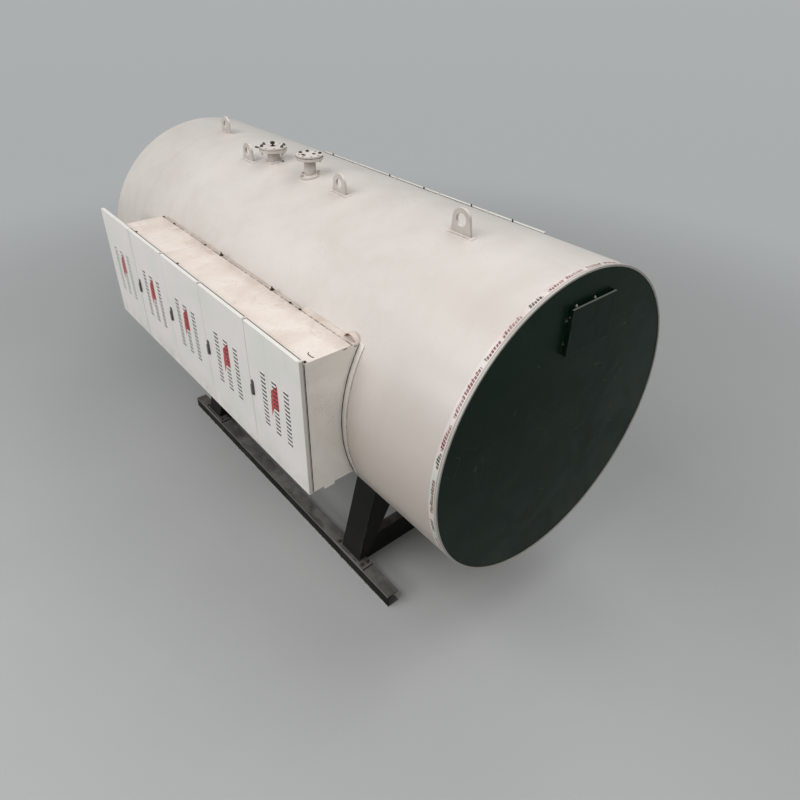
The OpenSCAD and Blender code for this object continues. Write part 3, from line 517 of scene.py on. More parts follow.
def edge_film():
    """Clear-edged protective tape round the cladding's front edge, with broken rows of red-brown print dashes."""
    material, tree, shader, at = finish_of("edge film", 0.3, specular=0.5)
    x, y, z = split(tree, at)
    turn = node(tree, "ShaderNodeMath", {0: calc(tree, "SUBTRACT", z, AXIS), 1: y}, operation="ARCTAN2").outputs[0]
    arc = times(tree, turn, RADIUS)
    back = calc(tree, "SUBTRACT", FRONT, x)
    clouds = use(tree, "cloudy_paint", Vector=at, Cloud_Scale=6.0, Speck_Scale=160.0)
    colour = mixed(tree, clouds["Cloud"], (0.690, 0.610, 0.575, 1), (0.780, 0.715, 0.685, 1))
    tint = noise(tree, at, 2.6, 2.0, 0.5)
    colour = mixed(tree, fade(tree, tint, 0.58, 0.66, 0.0, 0.6), colour, (0.560, 0.680, 0.590, 1))
    group_at = calc(tree, "DIVIDE", arc, 0.150)
    group = node(tree, "ShaderNodeTexWhiteNoise", {"W": calc(tree, "FLOOR", group_at)}, noise_dimensions="1D").outputs[0]
    in_group = calc(tree, "FRACT", group_at)
    long = times(tree, fade(tree, in_group, 0.03, 0.05),
                fade(tree, calc(tree, "SUBTRACT", in_group, times(tree, group, 0.40)), 0.62, 0.60))
    slanted = calc(tree, "ADD", arc, times(tree, back, 0.35))
    cell_at = calc(tree, "DIVIDE", slanted, 0.0175)
    cell = node(tree, "ShaderNodeTexWhiteNoise", {"W": calc(tree, "FLOOR", cell_at)}, noise_dimensions="1D").outputs[0]
    bar = fade(tree, calc(tree, "ABSOLUTE", calc(tree, "SUBTRACT", calc(tree, "FRACT", cell_at), 0.5)), 0.42, 0.34)
    bar = times(tree, bar, fade(tree, noise(tree, at, 120.0, 2.0, 0.6), 0.32, 0.44, 0.10, 1.0))
    middle = calc(tree, "ADD", 0.0300, times(tree, calc(tree, "SUBTRACT", cell, 0.5), 0.006))
    reach = calc(tree, "ADD", 0.0068, times(tree, cell, 0.0042))
    off_middle = calc(tree, "ABSOLUTE", calc(tree, "SUBTRACT", back, middle))
    row = fade(tree, calc(tree, "SUBTRACT", off_middle, reach), 0.0008, -0.0008)
    faded = fade(tree, noise(tree, at, 3.0, 3.0, 0.6), 0.32, 0.50, 0.60, 1.0)
    dash = times(tree, times(tree, times(tree, long, bar), row), faded)
    ink = mixed(tree, fade(tree, group, 0.12, 0.20), (0.035, 0.050, 0.035, 1), (0.170, 0.026, 0.034, 1))
    colour = mixed(tree, times(tree, dash, 0.97), colour, ink)
    colour = mixed(tree, fade(tree, back, 0.0135, 0.0120, 0.0, 0.7), colour, (0.370, 0.365, 0.325, 1))
    seam = fade(tree, calc(tree, "ABSOLUTE", calc(tree, "SUBTRACT", back, 0.0135)), 0.0026, 0.0012)
    colour = mixed(tree, times(tree, seam, 0.75), colour, (0.260, 0.235, 0.215, 1))
    put(shader.inputs["Base Color"], colour)
    put(shader.inputs["Roughness"], fade(tree, clouds["Cloud"], 0.0, 1.0, 0.25, 0.4))
    crease = noise(tree, joined(tree, arc, times(tree, back, 0.2), 0.0), 60.0, 3.0, 0.6)
    bump(tree, shader, times(tree, crease, 0.35))
    return material


CREAM, CREAM_DULL = (0.800, 0.765, 0.725, 1), (0.700, 0.650, 0.600, 1)
FINISHES = {
    "shell": shell_enamel(),
    # the fittings' upright faces and corners carry painted shade
    "fitting": painted("fitting enamel", CREAM, CREAM_DULL, 0.40, grime_and_shade=0.85, dust=0.22, wear=0.35, cloud_scale=11.0,
                       reach=0.06, upright_shade=0.34, dirt_and_shade=(0.200, 0.170, 0.140, 1)),
    "end wall": painted("end wall enamel", (0.840, 0.800, 0.740, 1), (0.740, 0.700, 0.640, 1), 0.40, grime_and_shade=0.5, dust=0.2,
                        wear=0.25, cloud_scale=3.0),
    "case": painted("case enamel", (0.700, 0.690, 0.660, 1), (0.620, 0.605, 0.575, 1), 0.5, grime_and_shade=0.6, dust=0.25,
                    wear=0.15, cloud_scale=4.0),
    "top plate": top_plate_enamel(),
    "left door": door_enamel("left"),
    "right door": door_enamel("right"),
    "end plate": end_plate_enamel(),
    "bracket": bracket_enamel(),
    "skid": skid_enamel(),
    "handle": painted("handle moulding", (0.130, 0.116, 0.105, 1), (0.062, 0.054, 0.048, 1), 0.38, grime_and_shade=0.2, dust=0.1,
                      wear=0.6, bare=(0.26, 0.25, 0.24, 1), cloud_scale=30.0, dirt_and_shade=(0.09, 0.08, 0.07, 1)),
    "dark bolt": metal("oiled bolt steel", (0.060, 0.055, 0.050, 1), (0.028, 0.024, 0.021, 1), 0.42, 0.6),
    "foot bolt": metal("dull bolt steel", (0.150, 0.142, 0.130, 1), (0.070, 0.062, 0.054, 1), 0.45, 0.6),
    "pale bolt": metal("zinc plated nut", (0.640, 0.610, 0.560, 1), (0.420, 0.390, 0.350, 1), 0.34, 0.7),
    "cream weld": weld_metal("painted weld", CREAM, CREAM_DULL),
    "dark weld": weld_metal("primed weld", (0.040, 0.036, 0.032, 1), (0.020, 0.018, 0.016, 1)),
    "sealant": painted("joint sealant", (0.560, 0.530, 0.490, 1), (0.380, 0.350, 0.315, 1), 0.6, grime_and_shade=0.7, dust=0.3,
                       wear=0.0, cloud_scale=24.0),
    "rubber": painted("door seal rubber", (0.022, 0.022, 0.022, 1), (0.014, 0.014, 0.014, 1), 0.62, grime_and_shade=0.1, dust=0.2,
                      wear=0.0, cloud_scale=24.0, specular=0.3),
    "film": edge_film(),
}


def finish_for(name):
    """The finish that each CAD node shows."""
    if name.startswith("shell"):
        return "shell"
    if name.startswith("end_plate"):
        return "end plate"
    if name == "nameplate_bracket":
        return "bracket"
    if name.endswith(("_beam", "_member", "_leg")):
        return "skid"
    if "_handle_" in name:
        return "handle"
    if "_door_" in name or name.endswith("_end_panel"):
        return name.split("_")[0] + " door"
    if name.endswith("cabinet_top"):
        return "top plate"
    if name.endswith(("front_end", "rear_end")):
        return "end wall"
    if "_cabinet_" in name:
        return "case"
    return "fitting"


for name, cad in NODES.items():
    for slot in cad.material_slots:
        slot.material = FINISHES[finish_for(name)]


# geometry node trees
def pattern(name, takes):
    """A geometry node tree with named inputs: its tree, what comes in, and the socket for the result."""
    tree = bpy.data.node_groups.new(name, "GeometryNodeTree")
    tree.interface.new_socket("Geometry", in_out="INPUT", socket_type="NodeSocketGeometry")
    for label, value in takes.items():
        kind = "NodeSocketInt" if isinstance(value, int) else "NodeSocketFloat"
        tree.interface.new_socket(label, in_out="INPUT", socket_type=kind).default_value = value
    tree.interface.new_socket("Finish", in_out="INPUT", socket_type="NodeSocketMaterial")
    tree.interface.new_socket("Geometry", in_out="OUTPUT", socket_type="NodeSocketGeometry")
    return tree, tree.nodes.new("NodeGroupInput").outputs, tree.nodes.new("NodeGroupOutput").inputs[0]


def lifted(tree, mesh, height):
    shift = node(tree, "ShaderNodeCombineXYZ", {2: height}).outputs[0]
    return node(tree, "GeometryNodeTransform", {"Geometry": mesh, "Translation": shift}).outputs[0]


def attribute(tree, name):
    return node(tree, "GeometryNodeInputNamedAttribute", {"Name": name}, data_type="FLOAT_VECTOR").outputs[0]


def set_on_points(tree, given, part, turn, result):
    """Puts the part on each point, its top along the point's facing and its side along the point's along."""
    seed = {"Seed": given["Seed"], 2: 0.0, 3: turn}
    angle = node(tree, "FunctionNodeRandomValue", seed, data_type="FLOAT").outputs[1]
    up = node(tree, "FunctionNodeAlignRotationToVector", {"Vector": attribute(tree, "facing")}, axis="Z").outputs[0]
    side = node(tree, "FunctionNodeAlignRotationToVector", {"Rotation": up, "Vector": attribute(tree, "along")},
                axis="X", pivot_axis="Z").outputs[0]
    spin = node(tree, "FunctionNodeAxisAngleToRotation", {"Angle": angle}).outputs[0]
    turned = node(tree, "FunctionNodeRotateRotation", {0: side, 1: spin}, rotation_space="LOCAL").outputs[0]
    many = node(tree, "GeometryNodeInstanceOnPoints",
                {"Points": given["Geometry"], "Instance": part, "Rotation": turned}).outputs[0]
    real = node(tree, "GeometryNodeRealizeInstances", {0: many}).outputs[0]
    put(result, node(tree, "GeometryNodeSetMaterial", {"Geometry": real, "Material": given["Finish"]}).outputs[0])


def bolt_pattern():
    """Hex head with a chamfer, a washer and a stud end, one on each point."""
    takes = {"Head Radius": 0.012, "Head Height": 0.009, "Washer Radius": 0.015, "Stud Radius": 0.006, "Stud Length": 0.004,
             "Seed": 1}
    tree, given, result = pattern("bolt heads", takes)
    washer = node(tree, "GeometryNodeMeshCylinder",
                  {"Vertices": 16, "Radius": given["Washer Radius"], "Depth": 0.003}).outputs[0]
    head = node(tree, "GeometryNodeMeshCylinder",
                {"Vertices": 6, "Radius": given["Head Radius"], "Depth": given["Head Height"]}).outputs[0]
    middle = calc(tree, "MULTIPLY_ADD", given["Head Height"], 0.5, 0.0015)
    small = times(tree, given["Head Radius"], 0.82)
    cap = node(tree, "GeometryNodeMeshCone", {"Vertices": 12, "Radius Top": times(tree, small, 0.9),
                                             "Radius Bottom": small, "Depth": 0.0012}).outputs[0]
    top = calc(tree, "ADD", given["Head Height"], 0.0015)
    length = calc(tree, "ADD", given["Stud Length"], 0.002)
    stud = node(tree, "GeometryNodeMeshCylinder",
                {"Vertices": 10, "Radius": given["Stud Radius"], "Depth": length}).outputs[0]
    stud_at = calc(tree, "ADD", top, calc(tree, "MULTIPLY_ADD", given["Stud Length"], 0.5, -0.001))
    parts = node(tree, "GeometryNodeJoinGeometry")
    for made in (washer, lifted(tree, head, middle), lifted(tree, cap, top), lifted(tree, stud, stud_at)):
        tree.links.new(made, parts.inputs[0])
    set_on_points(tree, given, parts.outputs[0], math.pi / 3, result)
    return tree


def clip_pattern():
    """A folded clip with a screw in it, one on each point of the gutter."""
    takes = {"Clip Width": 0.022, "Clip Reach": 0.045, "Clip Thickness": 0.003, "Screw Radius": 0.006, "Seed": 1}
    tree, given, result = pattern("gutter clips", takes)
    foot = joined(tree, given["Clip Width"], given["Clip Reach"], given["Clip Thickness"])
    plate = node(tree, "GeometryNodeMeshCube", {"Size": foot}).outputs[0]
    upstand = joined(tree, given["Clip Width"], given["Clip Thickness"], times(tree, given["Clip Reach"], 0.45))
    lip = node(tree, "GeometryNodeMeshCube", {"Size": upstand}).outputs[0]
    lip_at = joined(tree, 0.0, times(tree, given["Clip Reach"], 0.5), times(tree, given["Clip Reach"], 0.2))
    lip = node(tree, "GeometryNodeTransform", {"Geometry": lip, "Translation": lip_at}).outputs[0]
    screw = node(tree, "GeometryNodeMeshCone", {"Vertices": 14, "Radius Top": times(tree, given["Screw Radius"], 0.55),
                                               "Radius Bottom": given["Screw Radius"], "Depth": 0.0045}).outputs[0]
    parts = node(tree, "GeometryNodeJoinGeometry")
    for made in (lifted(tree, plate, 0.0015), lip, lifted(tree, screw, 0.003)):
        tree.links.new(made, parts.inputs[0])
    set_on_points(tree, given, parts.outputs[0], 0.0, result)
    return tree


def weld_bead():
    """A bead laid along edges, its width rising and falling with each ripple."""
    takes = {"Bead Radius": 0.005, "Ripple Pitch": 0.005, "Unevenness": 0.5, "Seed": 1}
    tree, given, result = pattern("weld bead", takes)
    path = node(tree, "GeometryNodeMeshToCurve", {0: given["Geometry"]}).outputs[0]
    path = node(tree, "GeometryNodeResampleCurve", {"Curve": path, "Length": given["Ripple Pitch"]}, mode="LENGTH").outputs[0]
    uneven = node(tree, "FunctionNodeRandomValue", {"Seed": given["Seed"], 2: -0.5, 3: 0.5}, data_type="FLOAT").outputs[1]
    size = calc(tree, "MULTIPLY_ADD", uneven, given["Unevenness"], 1.0)
    path = node(tree, "GeometryNodeSetCurveRadius", {"Curve": path, "Radius": size}).outputs[0]
    ring = node(tree, "GeometryNodeCurvePrimitiveCircle", {"Resolution": 7, "Radius": given["Bead Radius"]}).outputs[0]
    bead = node(tree, "GeometryNodeCurveToMesh", {"Curve": path, "Profile Curve": ring, "Scale": size, "Fill Caps": True})
    smooth = node(tree, "GeometryNodeSetShadeSmooth", {0: bead.outputs[0]}).outputs[0]
    real = node(tree, "GeometryNodeRealizeInstances", {0: smooth}).outputs[0]
    put(result, node(tree, "GeometryNodeSetMaterial", {"Geometry": real, "Material": given["Finish"]}).outputs[0])
    return tree


PATTERNS = {"bolts": bolt_pattern(), "clips": clip_pattern(), "weld": weld_bead()}


def kept(piece):
    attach(piece, "boiler")


def grown(name, mesh, tree, sizes, finish):
    """Runs a tree on a mesh and keeps the result as a plain mesh on one body."""
    piece = bpy.data.objects.new(name, mesh)
    bpy.context.scene.collection.objects.link(piece)
    modifier = piece.modifiers.new(tree.name, "NODES")
    modifier.node_group = tree
    for item in tree.interface.items_tree:
        if item.in_out == "INPUT" and item.name in sizes:
            modifier[item.identifier] = sizes[item.name]
        if item.in_out == "INPUT" and item.name == "Finish":
            modifier[item.identifier] = FINISHES[finish]
    depsgraph = bpy.context.evaluated_depsgraph_get()
    solid = bpy.data.meshes.new_from_object(piece.evaluated_get(depsgraph), depsgraph=depsgraph)
    piece.modifiers.remove(modifier)
    piece.data = solid
    solid.name = name
    kept(piece)


def point_mesh(name, points):
    """Loose points with the way each faces and the way its side lies."""
    mesh = bpy.data.meshes.new(name)
    mesh.from_pydata([p for p, _, _ in points], [], [])
    for label, column in (("facing", 1), ("along", 2)):
        layer = mesh.attributes.new(label, "FLOAT_VECTOR", "POINT")
        layer.data.foreach_set("vector", [c for p in points for c in p[column]])
    return mesh


def path_mesh(name, paths):
    """Edges along each path; a path is a list of points, closed where its last point is its first."""
    mesh = bpy.data.meshes.new(name)
    points, edges = [], []
    for path in paths:
        first = len(points)
        closed = (Vector(path[0]) - Vector(path[-1])).length < 1e-6
        body = path[:-1] if closed else path
        points += body
        edges += [(first + i, first + i + 1) for i in range(len(body) - 1)]
        if closed:
            edges.append((first + len(body) - 1, first))
    mesh.from_pydata(points, edges, [])
    return mesh


# made pieces
def on_shell(x, angle, radius=RADIUS):
    """A point of the shell; the angle is from the crown, positive towards the right flank."""
    return Vector((x, radius * math.sin(angle), AXIS + radius * math.cos(angle)))


def made_piece(name, build, finish):
    """Builds a piece in mesh code and keeps it, its edges sharp past 40 degrees."""
    form = bmesh.new()
    build(form)
    bmesh.ops.recalc_face_normals(form, faces=form.faces)
    mesh = bpy.data.meshes.new(name)
    form.to_mesh(mesh)
    form.free()
    mesh.materials.append(FINISHES[finish])
    mesh.shade_smooth()
    mesh.set_sharp_from_angle(angle=math.radians(40))
    piece = bpy.data.objects.new(name, mesh)
    bpy.context.scene.collection.objects.link(piece)
    kept(piece)


def swept_ring(form, section, x_of, radius_of, count=240):
    """A closed ring about the shell's axis; the section is a list of (back from the edge, out from the shell)."""
    rings = []
    for i in range(count):
        angle = 2 * math.pi * i / count
        rings.append([form.verts.new(on_shell(x_of(b), angle, radius_of(r))) for b, r in section])
    for i, ring in enumerate(rings):
        after = rings[(i + 1) % count]
        for j in range(len(section)):
            k = (j + 1) % len(section)
            form.faces.new((ring[j], ring[k], after[k], after[j]))


def edge_band():
    """Protective film folded over the cladding's front edge."""
    wobble = [(0.0002, 0.0002), (0.0520, 0.0002), (0.0520, 0.0007), (0.0008, 0.0009), (-0.0004, 0.0004)]
    made_piece("edge_film_band", lambda form: swept_ring(form, wobble, lambda b: FRONT - b, lambda r: RADIUS + r),
                      "film")


def seam_band():
    """Bead of sealant in the joint between the two cladding sections."""
    section = [(-0.004, -0.002), (0.004, -0.002), (0.003, 0.0006), (0.0, 0.0012), (-0.003, 0.0006)]
    made_piece("rear_seam_sealant",
                      lambda form: swept_ring(form, section, lambda b: SEAM + b, lambda r: REAR_RADIUS + 0.002 + r),
               "sealant")


edge_band()
seam_band()


# nozzles and their fasteners
NOZZLES = [
    {"x": FRONT - 2.629, "y": -0.190, "height": 0.100, "flange": 0.100, "circle": 0.080, "neck": 0.0445, "foot": 0.060,
     "ring": 0.008},
    {"x": FRONT - 2.158, "y": -0.182, "height": 0.138, "flange": 0.0925, "circle": 0.0725, "neck": 0.040, "foot": 0.072,
     "ring": 0.016},
]
for each in NOZZLES:
    each["base"] = AXIS + math.sqrt(RADIUS**2 - each["y"]**2)
UP, DOWN, FORWARD = (0.0, 0.0, 1.0), (0.0, 0.0, -1.0), (1.0, 0.0, 0.0)
BOLT = {"Head Radius": 0.0115, "Head Height": 0.008, "Washer Radius": 0.0125, "Stud Radius": 0.006, "Stud Length": 0.006,
        "Seed": 3}
LOW_BOLT = dict(BOLT, **{"Head Height": 0.006, "Stud Length": 0.001})


def around(centre, radius, degrees, facing=UP):
    """Points round a vertical axis, with their facing and side."""
    points = []
    for turn in degrees:
        a = math.radians(turn)
        points.append(((centre[0] + radius * math.cos(a), centre[1] + radius * math.sin(a), centre[2]), facing,
                       (math.cos(a), math.sin(a), 0.0)))
    return points


def nozzle_fasteners():
    for i, nozzle in enumerate(NOZZLES):
        top = nozzle["base"] + nozzle["height"] + 0.012
        centre = (nozzle["x"], nozzle["y"], top)
        held = [(22.5, 67.5, 202.5, 247.5), (67.5, 157.5, 202.5)][i]
        sizes, finish = [(BOLT, "foot bolt"), (LOW_BOLT, "dark bolt")][i]
        grown(f"nozzle_{i + 1}_bolts", point_mesh("points", around(centre, nozzle["circle"], held)), PATTERNS["bolts"],
              sizes, finish)
        under = (nozzle["x"], nozzle["y"], top - 0.032)
        grown(f"nozzle_{i + 1}_nuts", point_mesh("points", around(under, nozzle["circle"], held, DOWN)), PATTERNS["bolts"],
              dict(BOLT, **{"Stud Length": 0.016, "Seed": 5}), "pale bolt")


nozzle_fasteners()


def block(form, low, high, bevel=0.0008):
    """A small block with its edges taken off."""
    made = bmesh.ops.create_cube(form, size=1.0)["verts"]
    for vertex in made:
        vertex.co = Vector([low[i] + (vertex.co[i] + 0.5) * (high[i] - low[i]) for i in range(3)])
    bmesh.ops.bevel(form, geom=list({edge for vertex in made for edge in vertex.link_edges}), offset=bevel, segments=1,
                    affect="EDGES")


def turned(form, start, end, profile, count=20):
    """A turned part between two points; the profile is a list of (share of the way, radius)."""
    way = Vector(end) - Vector(start)
    side = way.orthogonal().normalized()
    other = way.normalized().cross(side)
    rings = [[form.verts.new(Vector(start) + way * share + radius * (math.cos(a) * side + math.sin(a) * other))
              for a in (2 * math.pi * i / count for i in range(count))] for share, radius in profile]
    for first, second in zip(rings, rings[1:]):
        for i in range(count):
            form.faces.new((first[i], first[(i + 1) % count], second[(i + 1) % count], second[i]))
    form.faces.new(rings[0])
    form.faces.new(rings[-1])


# what sits on the nozzles
def beside(nozzle, reach, degrees, height):
    a = math.radians(degrees)
    return Vector((nozzle["x"] + reach * math.cos(a), nozzle["y"] + reach * math.sin(a), height))


def nozzle_plug():
    """A capped test plug on the first nozzle's cover, and the locating rod in its joint."""
    nozzle = NOZZLES[0]
    top = nozzle["base"] + nozzle["height"] + 0.012

    def build(form):
        foot = beside(nozzle, 0.0, 0.0, top - 0.001)
        turned(form, foot, foot + Vector((0, 0, 0.033)),
               [(0.0, 0.016), (0.14, 0.016), (0.19, 0.007), (0.48, 0.007), (0.52, 0.015), (0.60, 0.017), (0.90, 0.017),
                (1.0, 0.013)])
        turned(form, beside(nozzle, 0.085, 229.4, top - 0.016), beside(nozzle, 0.129, 229.4, top - 0.008),
               [(0.0, 0.004), (0.55, 0.004), (0.57, 0.0065), (0.95, 0.0065), (1.0, 0.005)], 12)
    made_piece("nozzle_1_plug", build, "dark bolt")


def nozzle_oddments():
    """Gasket edges, shims left on the second cover, and nuts and a stud left on the foot rings."""
    for i, nozzle in enumerate(NOZZLES):
        joint = nozzle["base"] + nozzle["height"]
        rim = [tuple(beside(nozzle, nozzle["flange"] - 0.0018, turn, joint)) for turn in range(0, 361, 6)]
        grown(f"nozzle_{i + 1}_gasket", path_mesh("rim", [rim]), PATTERNS["weld"],
              {"Bead Radius": 0.0016 + 0.0008 * i, "Ripple Pitch": 0.012, "Unevenness": 0.5, "Seed": 7 + i}, "rubber")

    def shims(form):
        nozzle = NOZZLES[1]
        top = nozzle["base"] + nozzle["height"] + 0.012
        for reach, turn, half, deep in ((0.045, 268, 0.017, 0.007), (0.031, 54, 0.010, 0.008)):
            middle = beside(nozzle, reach, turn, top)
            block(form, middle - Vector((half, deep, 0.0005)), middle + Vector((half, deep, 0.005)))
    made_piece("nozzle_2_shims", shims, "dark bolt")

    def on_ring(nozzle, degrees):
        spot = beside(nozzle, nozzle["foot"] - 0.011, degrees, 0.0)
        spot.z = AXIS + math.sqrt((RADIUS + nozzle["ring"])**2 - spot.y**2)
        return tuple(spot), tuple(Vector((0, spot.y, spot.z - AXIS)).normalized()), FORWARD
    nuts = [on_ring(NOZZLES[0], 215)] + [on_ring(NOZZLES[1], turn) for turn in (205, 250, 30, 62)]
    grown("foot_ring_nuts", point_mesh("points", nuts), PATTERNS["bolts"],
          {"Head Radius": 0.0095, "Head Height": 0.007, "Washer Radius": 0.0100, "Stud Radius": 0.005, "Stud Length": 0.004,
           "Seed": 9}, "pale bolt")

    def stud(form):
        nozzle = NOZZLES[0]
        first, last = beside(nozzle, 0.066, 35, 0.0), beside(nozzle, 0.081, 28, 0.0)
        for end in (first, last):
            end.z = AXIS + math.sqrt(RADIUS**2 - end.y**2) + 0.005
        turned(form, first, last, [(0.0, 0.004), (0.1, 0.005), (0.9, 0.005), (1.0, 0.004)], 10)
    made_piece("loose_stud", stud, "dark bolt")


nozzle_plug()
nozzle_oddments()


# weld beads
LUGS = [{"x": FRONT - at, "y": -side, "w": w, "foot": AXIS + math.sqrt(RADIUS**2 - side**2)}
        for at, side, w in ((0.737, 0.140, 0.160), (1.755, 0.222, 0.150), (2.841, 0.281, 0.150), (3.568, 0.083, 0.150))]
LEG_MIDDLES = [FRONT - 0.932 - 0.100, FRONT - 3.075 - 0.100]
BASE_TOP = 0.112
LEG_OUT = 0.746                     # outer face of a leg at its foot


def lying(points, lift, radius=RADIUS):
    """Drops points of a plan onto the shell, lifted off it by a little."""
    return [(x, y, AXIS + math.sqrt((radius + lift)**2 - y**2)) for x, y in points]


def loop(x, y, half_x, half_y):
    return [(x - half_x, y - half_y), (x + half_x, y - half_y), (x + half_x, y + half_y), (x - half_x, y + half_y),
            (x - half_x, y - half_y)]


def circle(nozzle, reach, step=6):
    return [tuple(beside(nozzle, reach, turn, 0.0))[:2] for turn in range(0, 361, step)]


def weld_beads():
    plates, pads = [], []
    for lug in LUGS:
        plates.append([(x, y, lug["foot"] + 0.005) for x, y in loop(lug["x"], lug["y"], lug["w"] / 2, 0.008)])
        pads.append(lying(loop(lug["x"], lug["y"], lug["w"] / 2 + 0.018, 0.022), 0.0))
    for nozzle in NOZZLES:
        plates.append(lying(circle(nozzle, nozzle["neck"] + 0.001), nozzle["ring"]))
        under = nozzle["base"] + nozzle["height"] - 0.020
        plates.append([(x, y, under) for x, y in circle(nozzle, nozzle["neck"] + 0.001)])
        pads.append(lying(circle(nozzle, nozzle["foot"]), 0.0))
    grown("fitting_welds", path_mesh("welds", plates), PATTERNS["weld"],
          {"Bead Radius": 0.0036, "Ripple Pitch": 0.0055, "Unevenness": 0.6, "Seed": 11}, "cream weld")
    grown("pad_welds", path_mesh("welds", pads), PATTERNS["weld"],
          {"Bead Radius": 0.0030, "Ripple Pitch": 0.0055, "Unevenness": 0.6, "Seed": 12}, "cream weld")
    feet = []
    for x in LEG_MIDDLES:
        for side in (-1, 1):
            feet.append([(x - 0.1, side * 0.676, BASE_TOP), (x - 0.1, side * LEG_OUT, BASE_TOP),
                         (x + 0.1, side * LEG_OUT, BASE_TOP),
                         (x + 0.1, side * 0.676, BASE_TOP)])
            for end in (-0.0375, 0.0375):
                feet.append([(x + end, side * 0.675, 0.006), (x + end, side * 0.675, 0.196)])
    grown("skid_welds", path_mesh("welds", feet), PATTERNS["weld"],
          {"Bead Radius": 0.0045, "Ripple Pitch": 0.007, "Unevenness": 0.6, "Seed": 13}, "dark weld")


def foot_bolts():
    places = [((x + way * 0.1375, side * (0.723 + across), BASE_TOP), UP, FORWARD) for x in LEG_MIDDLES for way in (-1, 1)
              for side in (-1, 1) for across in (-0.022, 0.022)]
    grown("foot_bolts", point_mesh("points", places), PATTERNS["bolts"],
          {"Head Radius": 0.0125, "Head Height": 0.009, "Washer Radius": 0.0155, "Stud Radius": 0.007, "Stud Length": 0.009,
           "Seed": 15}, "foot bolt")


weld_beads()
foot_bolts()


# nameplate bracket's fasteners
BRACKET = {"y": 0.066, "z": AXIS + 0.651, "w": 0.362, "h": 0.266, "face": FRONT + 0.028}


def bracket_fasteners():
    top = BRACKET["z"] + BRACKET["h"] / 2
    left = BRACKET["y"] - BRACKET["w"] / 2
    nibs = [((FRONT + 0.006, left + share * BRACKET["w"], top), UP, FORWARD) for share in (0.13, 0.55)]
    grown("bracket_nibs", point_mesh("points", nibs), PATTERNS["bolts"],
          {"Head Radius": 0.006, "Head Height": 0.004, "Washer Radius": 0.007, "Stud Radius": 0.004, "Stud Length": 0.004,
           "Seed": 17}, "pale bolt")
    tabs = [((FRONT, BRACKET["y"] + side * (BRACKET["w"] / 2 + 0.0075), BRACKET["z"] + way * BRACKET["h"] / 4), FORWARD, UP)
            for side in (-1, 1) for way in (-1, 1)]
    flank = [((FRONT + 0.012, left, top - 0.045), (0.0, -1.0, 0.0), FORWARD)]
    grown("bracket_bolts", point_mesh("points", tabs + flank), PATTERNS["bolts"],
          {"Head Radius": 0.0055, "Head Height": 0.004, "Washer Radius": 0.0062, "Stud Radius": 0.003, "Stud Length": 0.002,
           "Seed": 19}, "foot bolt")


bracket_fasteners()


# cabinets
def cabinet(side, back, out, height):
    """A point of a cabinet: back from its front edge, out from the centre plane, and its height."""
    if side == "left":
        return Vector((LEFT_EDGE - back, -out, height))
    return Vector((RIGHT_EDGE - 5 * BAY + back, out, height))


def cabinet_block(form, side, back, out, height, bevel=0.0008):
    """A block given by its (low, high) back, out and height."""
    first, second = (cabinet(side, back[i], out[i], height[i]) for i in range(2))
    block(form, [min(first[i], second[i]) for i in range(3)], [max(first[i], second[i]) for i in range(3)], bevel)


def cabinet_seals(side):
    """Rubber round each door opening, dark strips that stand for the shade in the gaps behind the doors' top edges and
    beside the first door's near edge, and the joint across the top plate.
    """
    rims = []
    for k in range(4):
        near, far = k * BAY + 0.012, (k + 1) * BAY - 0.012
        low, high = DOOR_LOW + 0.022, TOP_PLATE - 0.014
        rims.append([tuple(cabinet(side, b, BODY_FRONT, z)) for b, z in
                     ((near, low), (far, low), (far, high), (near, high), (near, low))])
    grown(f"{side}_door_seals", path_mesh("rims", rims), PATTERNS["weld"],
          {"Bead Radius": 0.0020, "Ripple Pitch": 0.05, "Unevenness": 0.05, "Seed": 21}, "rubber")

    # painted shade: dark strips put where the gaps behind the doors fall in shade
    def gap_shade_strips(form):
        if side == "left":
            cabinet_block(form, side, (0.004, 2.450), (1.1530, 1.1665), (TOP_PLATE - 0.0005, TOP_PLATE + 0.0018))
        cabinet_block(form, side, (-0.0007, 0.0005), (1.1615, 1.1665), (DOOR_LOW + 0.012, TOP_PLATE - 0.002), 0.0003)
    made_piece(f"{side}_gap_shade_strip", gap_shade_strips, "rubber")

    def joint(form):
        cabinet_block(form, side, (1.738, 1.7396), (0.872, 1.139), (TOP_PLATE - 0.0005, TOP_PLATE + 0.0006), 0.0002)
    made_piece(f"{side}_top_joint", joint, "sealant")


def cabinet_marks(side):
    """Dark latch lugs behind the doors' top edges and clips along the gutter."""
    backs = {"left": (2.246, 1.532, 0.012), "right": (2.568, 2.127, 1.551, 1.082, 0.181)}[side]

    def lugs(form):
        for back in backs:
            half, outs, height = (0.008, (1.144, 1.156), 0.007) if side == "left" else (0.006, (1.157, 1.166), 0.033)
            cabinet_block(form, side, (back - half, back + half), outs, (TOP_PLATE - 0.001, TOP_PLATE + height), 0.002)
    made_piece(f"{side}_latch_lugs", lugs, "dark bolt")
    inward = Vector(cabinet(side, 0.0, 0.0, 0.0) - cabinet(side, 0.0, 1.0, 0.0))
    sizes = {"Clip Width": 0.013, "Clip Reach": 0.014, "Clip Thickness": 0.003, "Screw Radius": 0.005, "Seed": 23}
    small = [(tuple(cabinet(side, back, 0.868, TOP_PLATE)), UP, tuple(inward))
             for back in (2.425, 2.232, 1.714, 0.603, 0.499)]
    grown(f"{side}_gutter_clips", point_mesh("points", small), PATTERNS["clips"], sizes, "dark bolt")
    large = [(tuple(cabinet(side, back, 0.862, TOP_PLATE)), UP, tuple(inward)) for back in (1.486, 0.822)]
    grown(f"{side}_gutter_bolts", point_mesh("points", large), PATTERNS["bolts"],
          {"Head Radius": 0.010, "Head Height": 0.007, "Washer Radius": 0.015, "Stud Radius": 0.004, "Stud Length": 0.014,
           "Seed": 25}, "dark bolt")


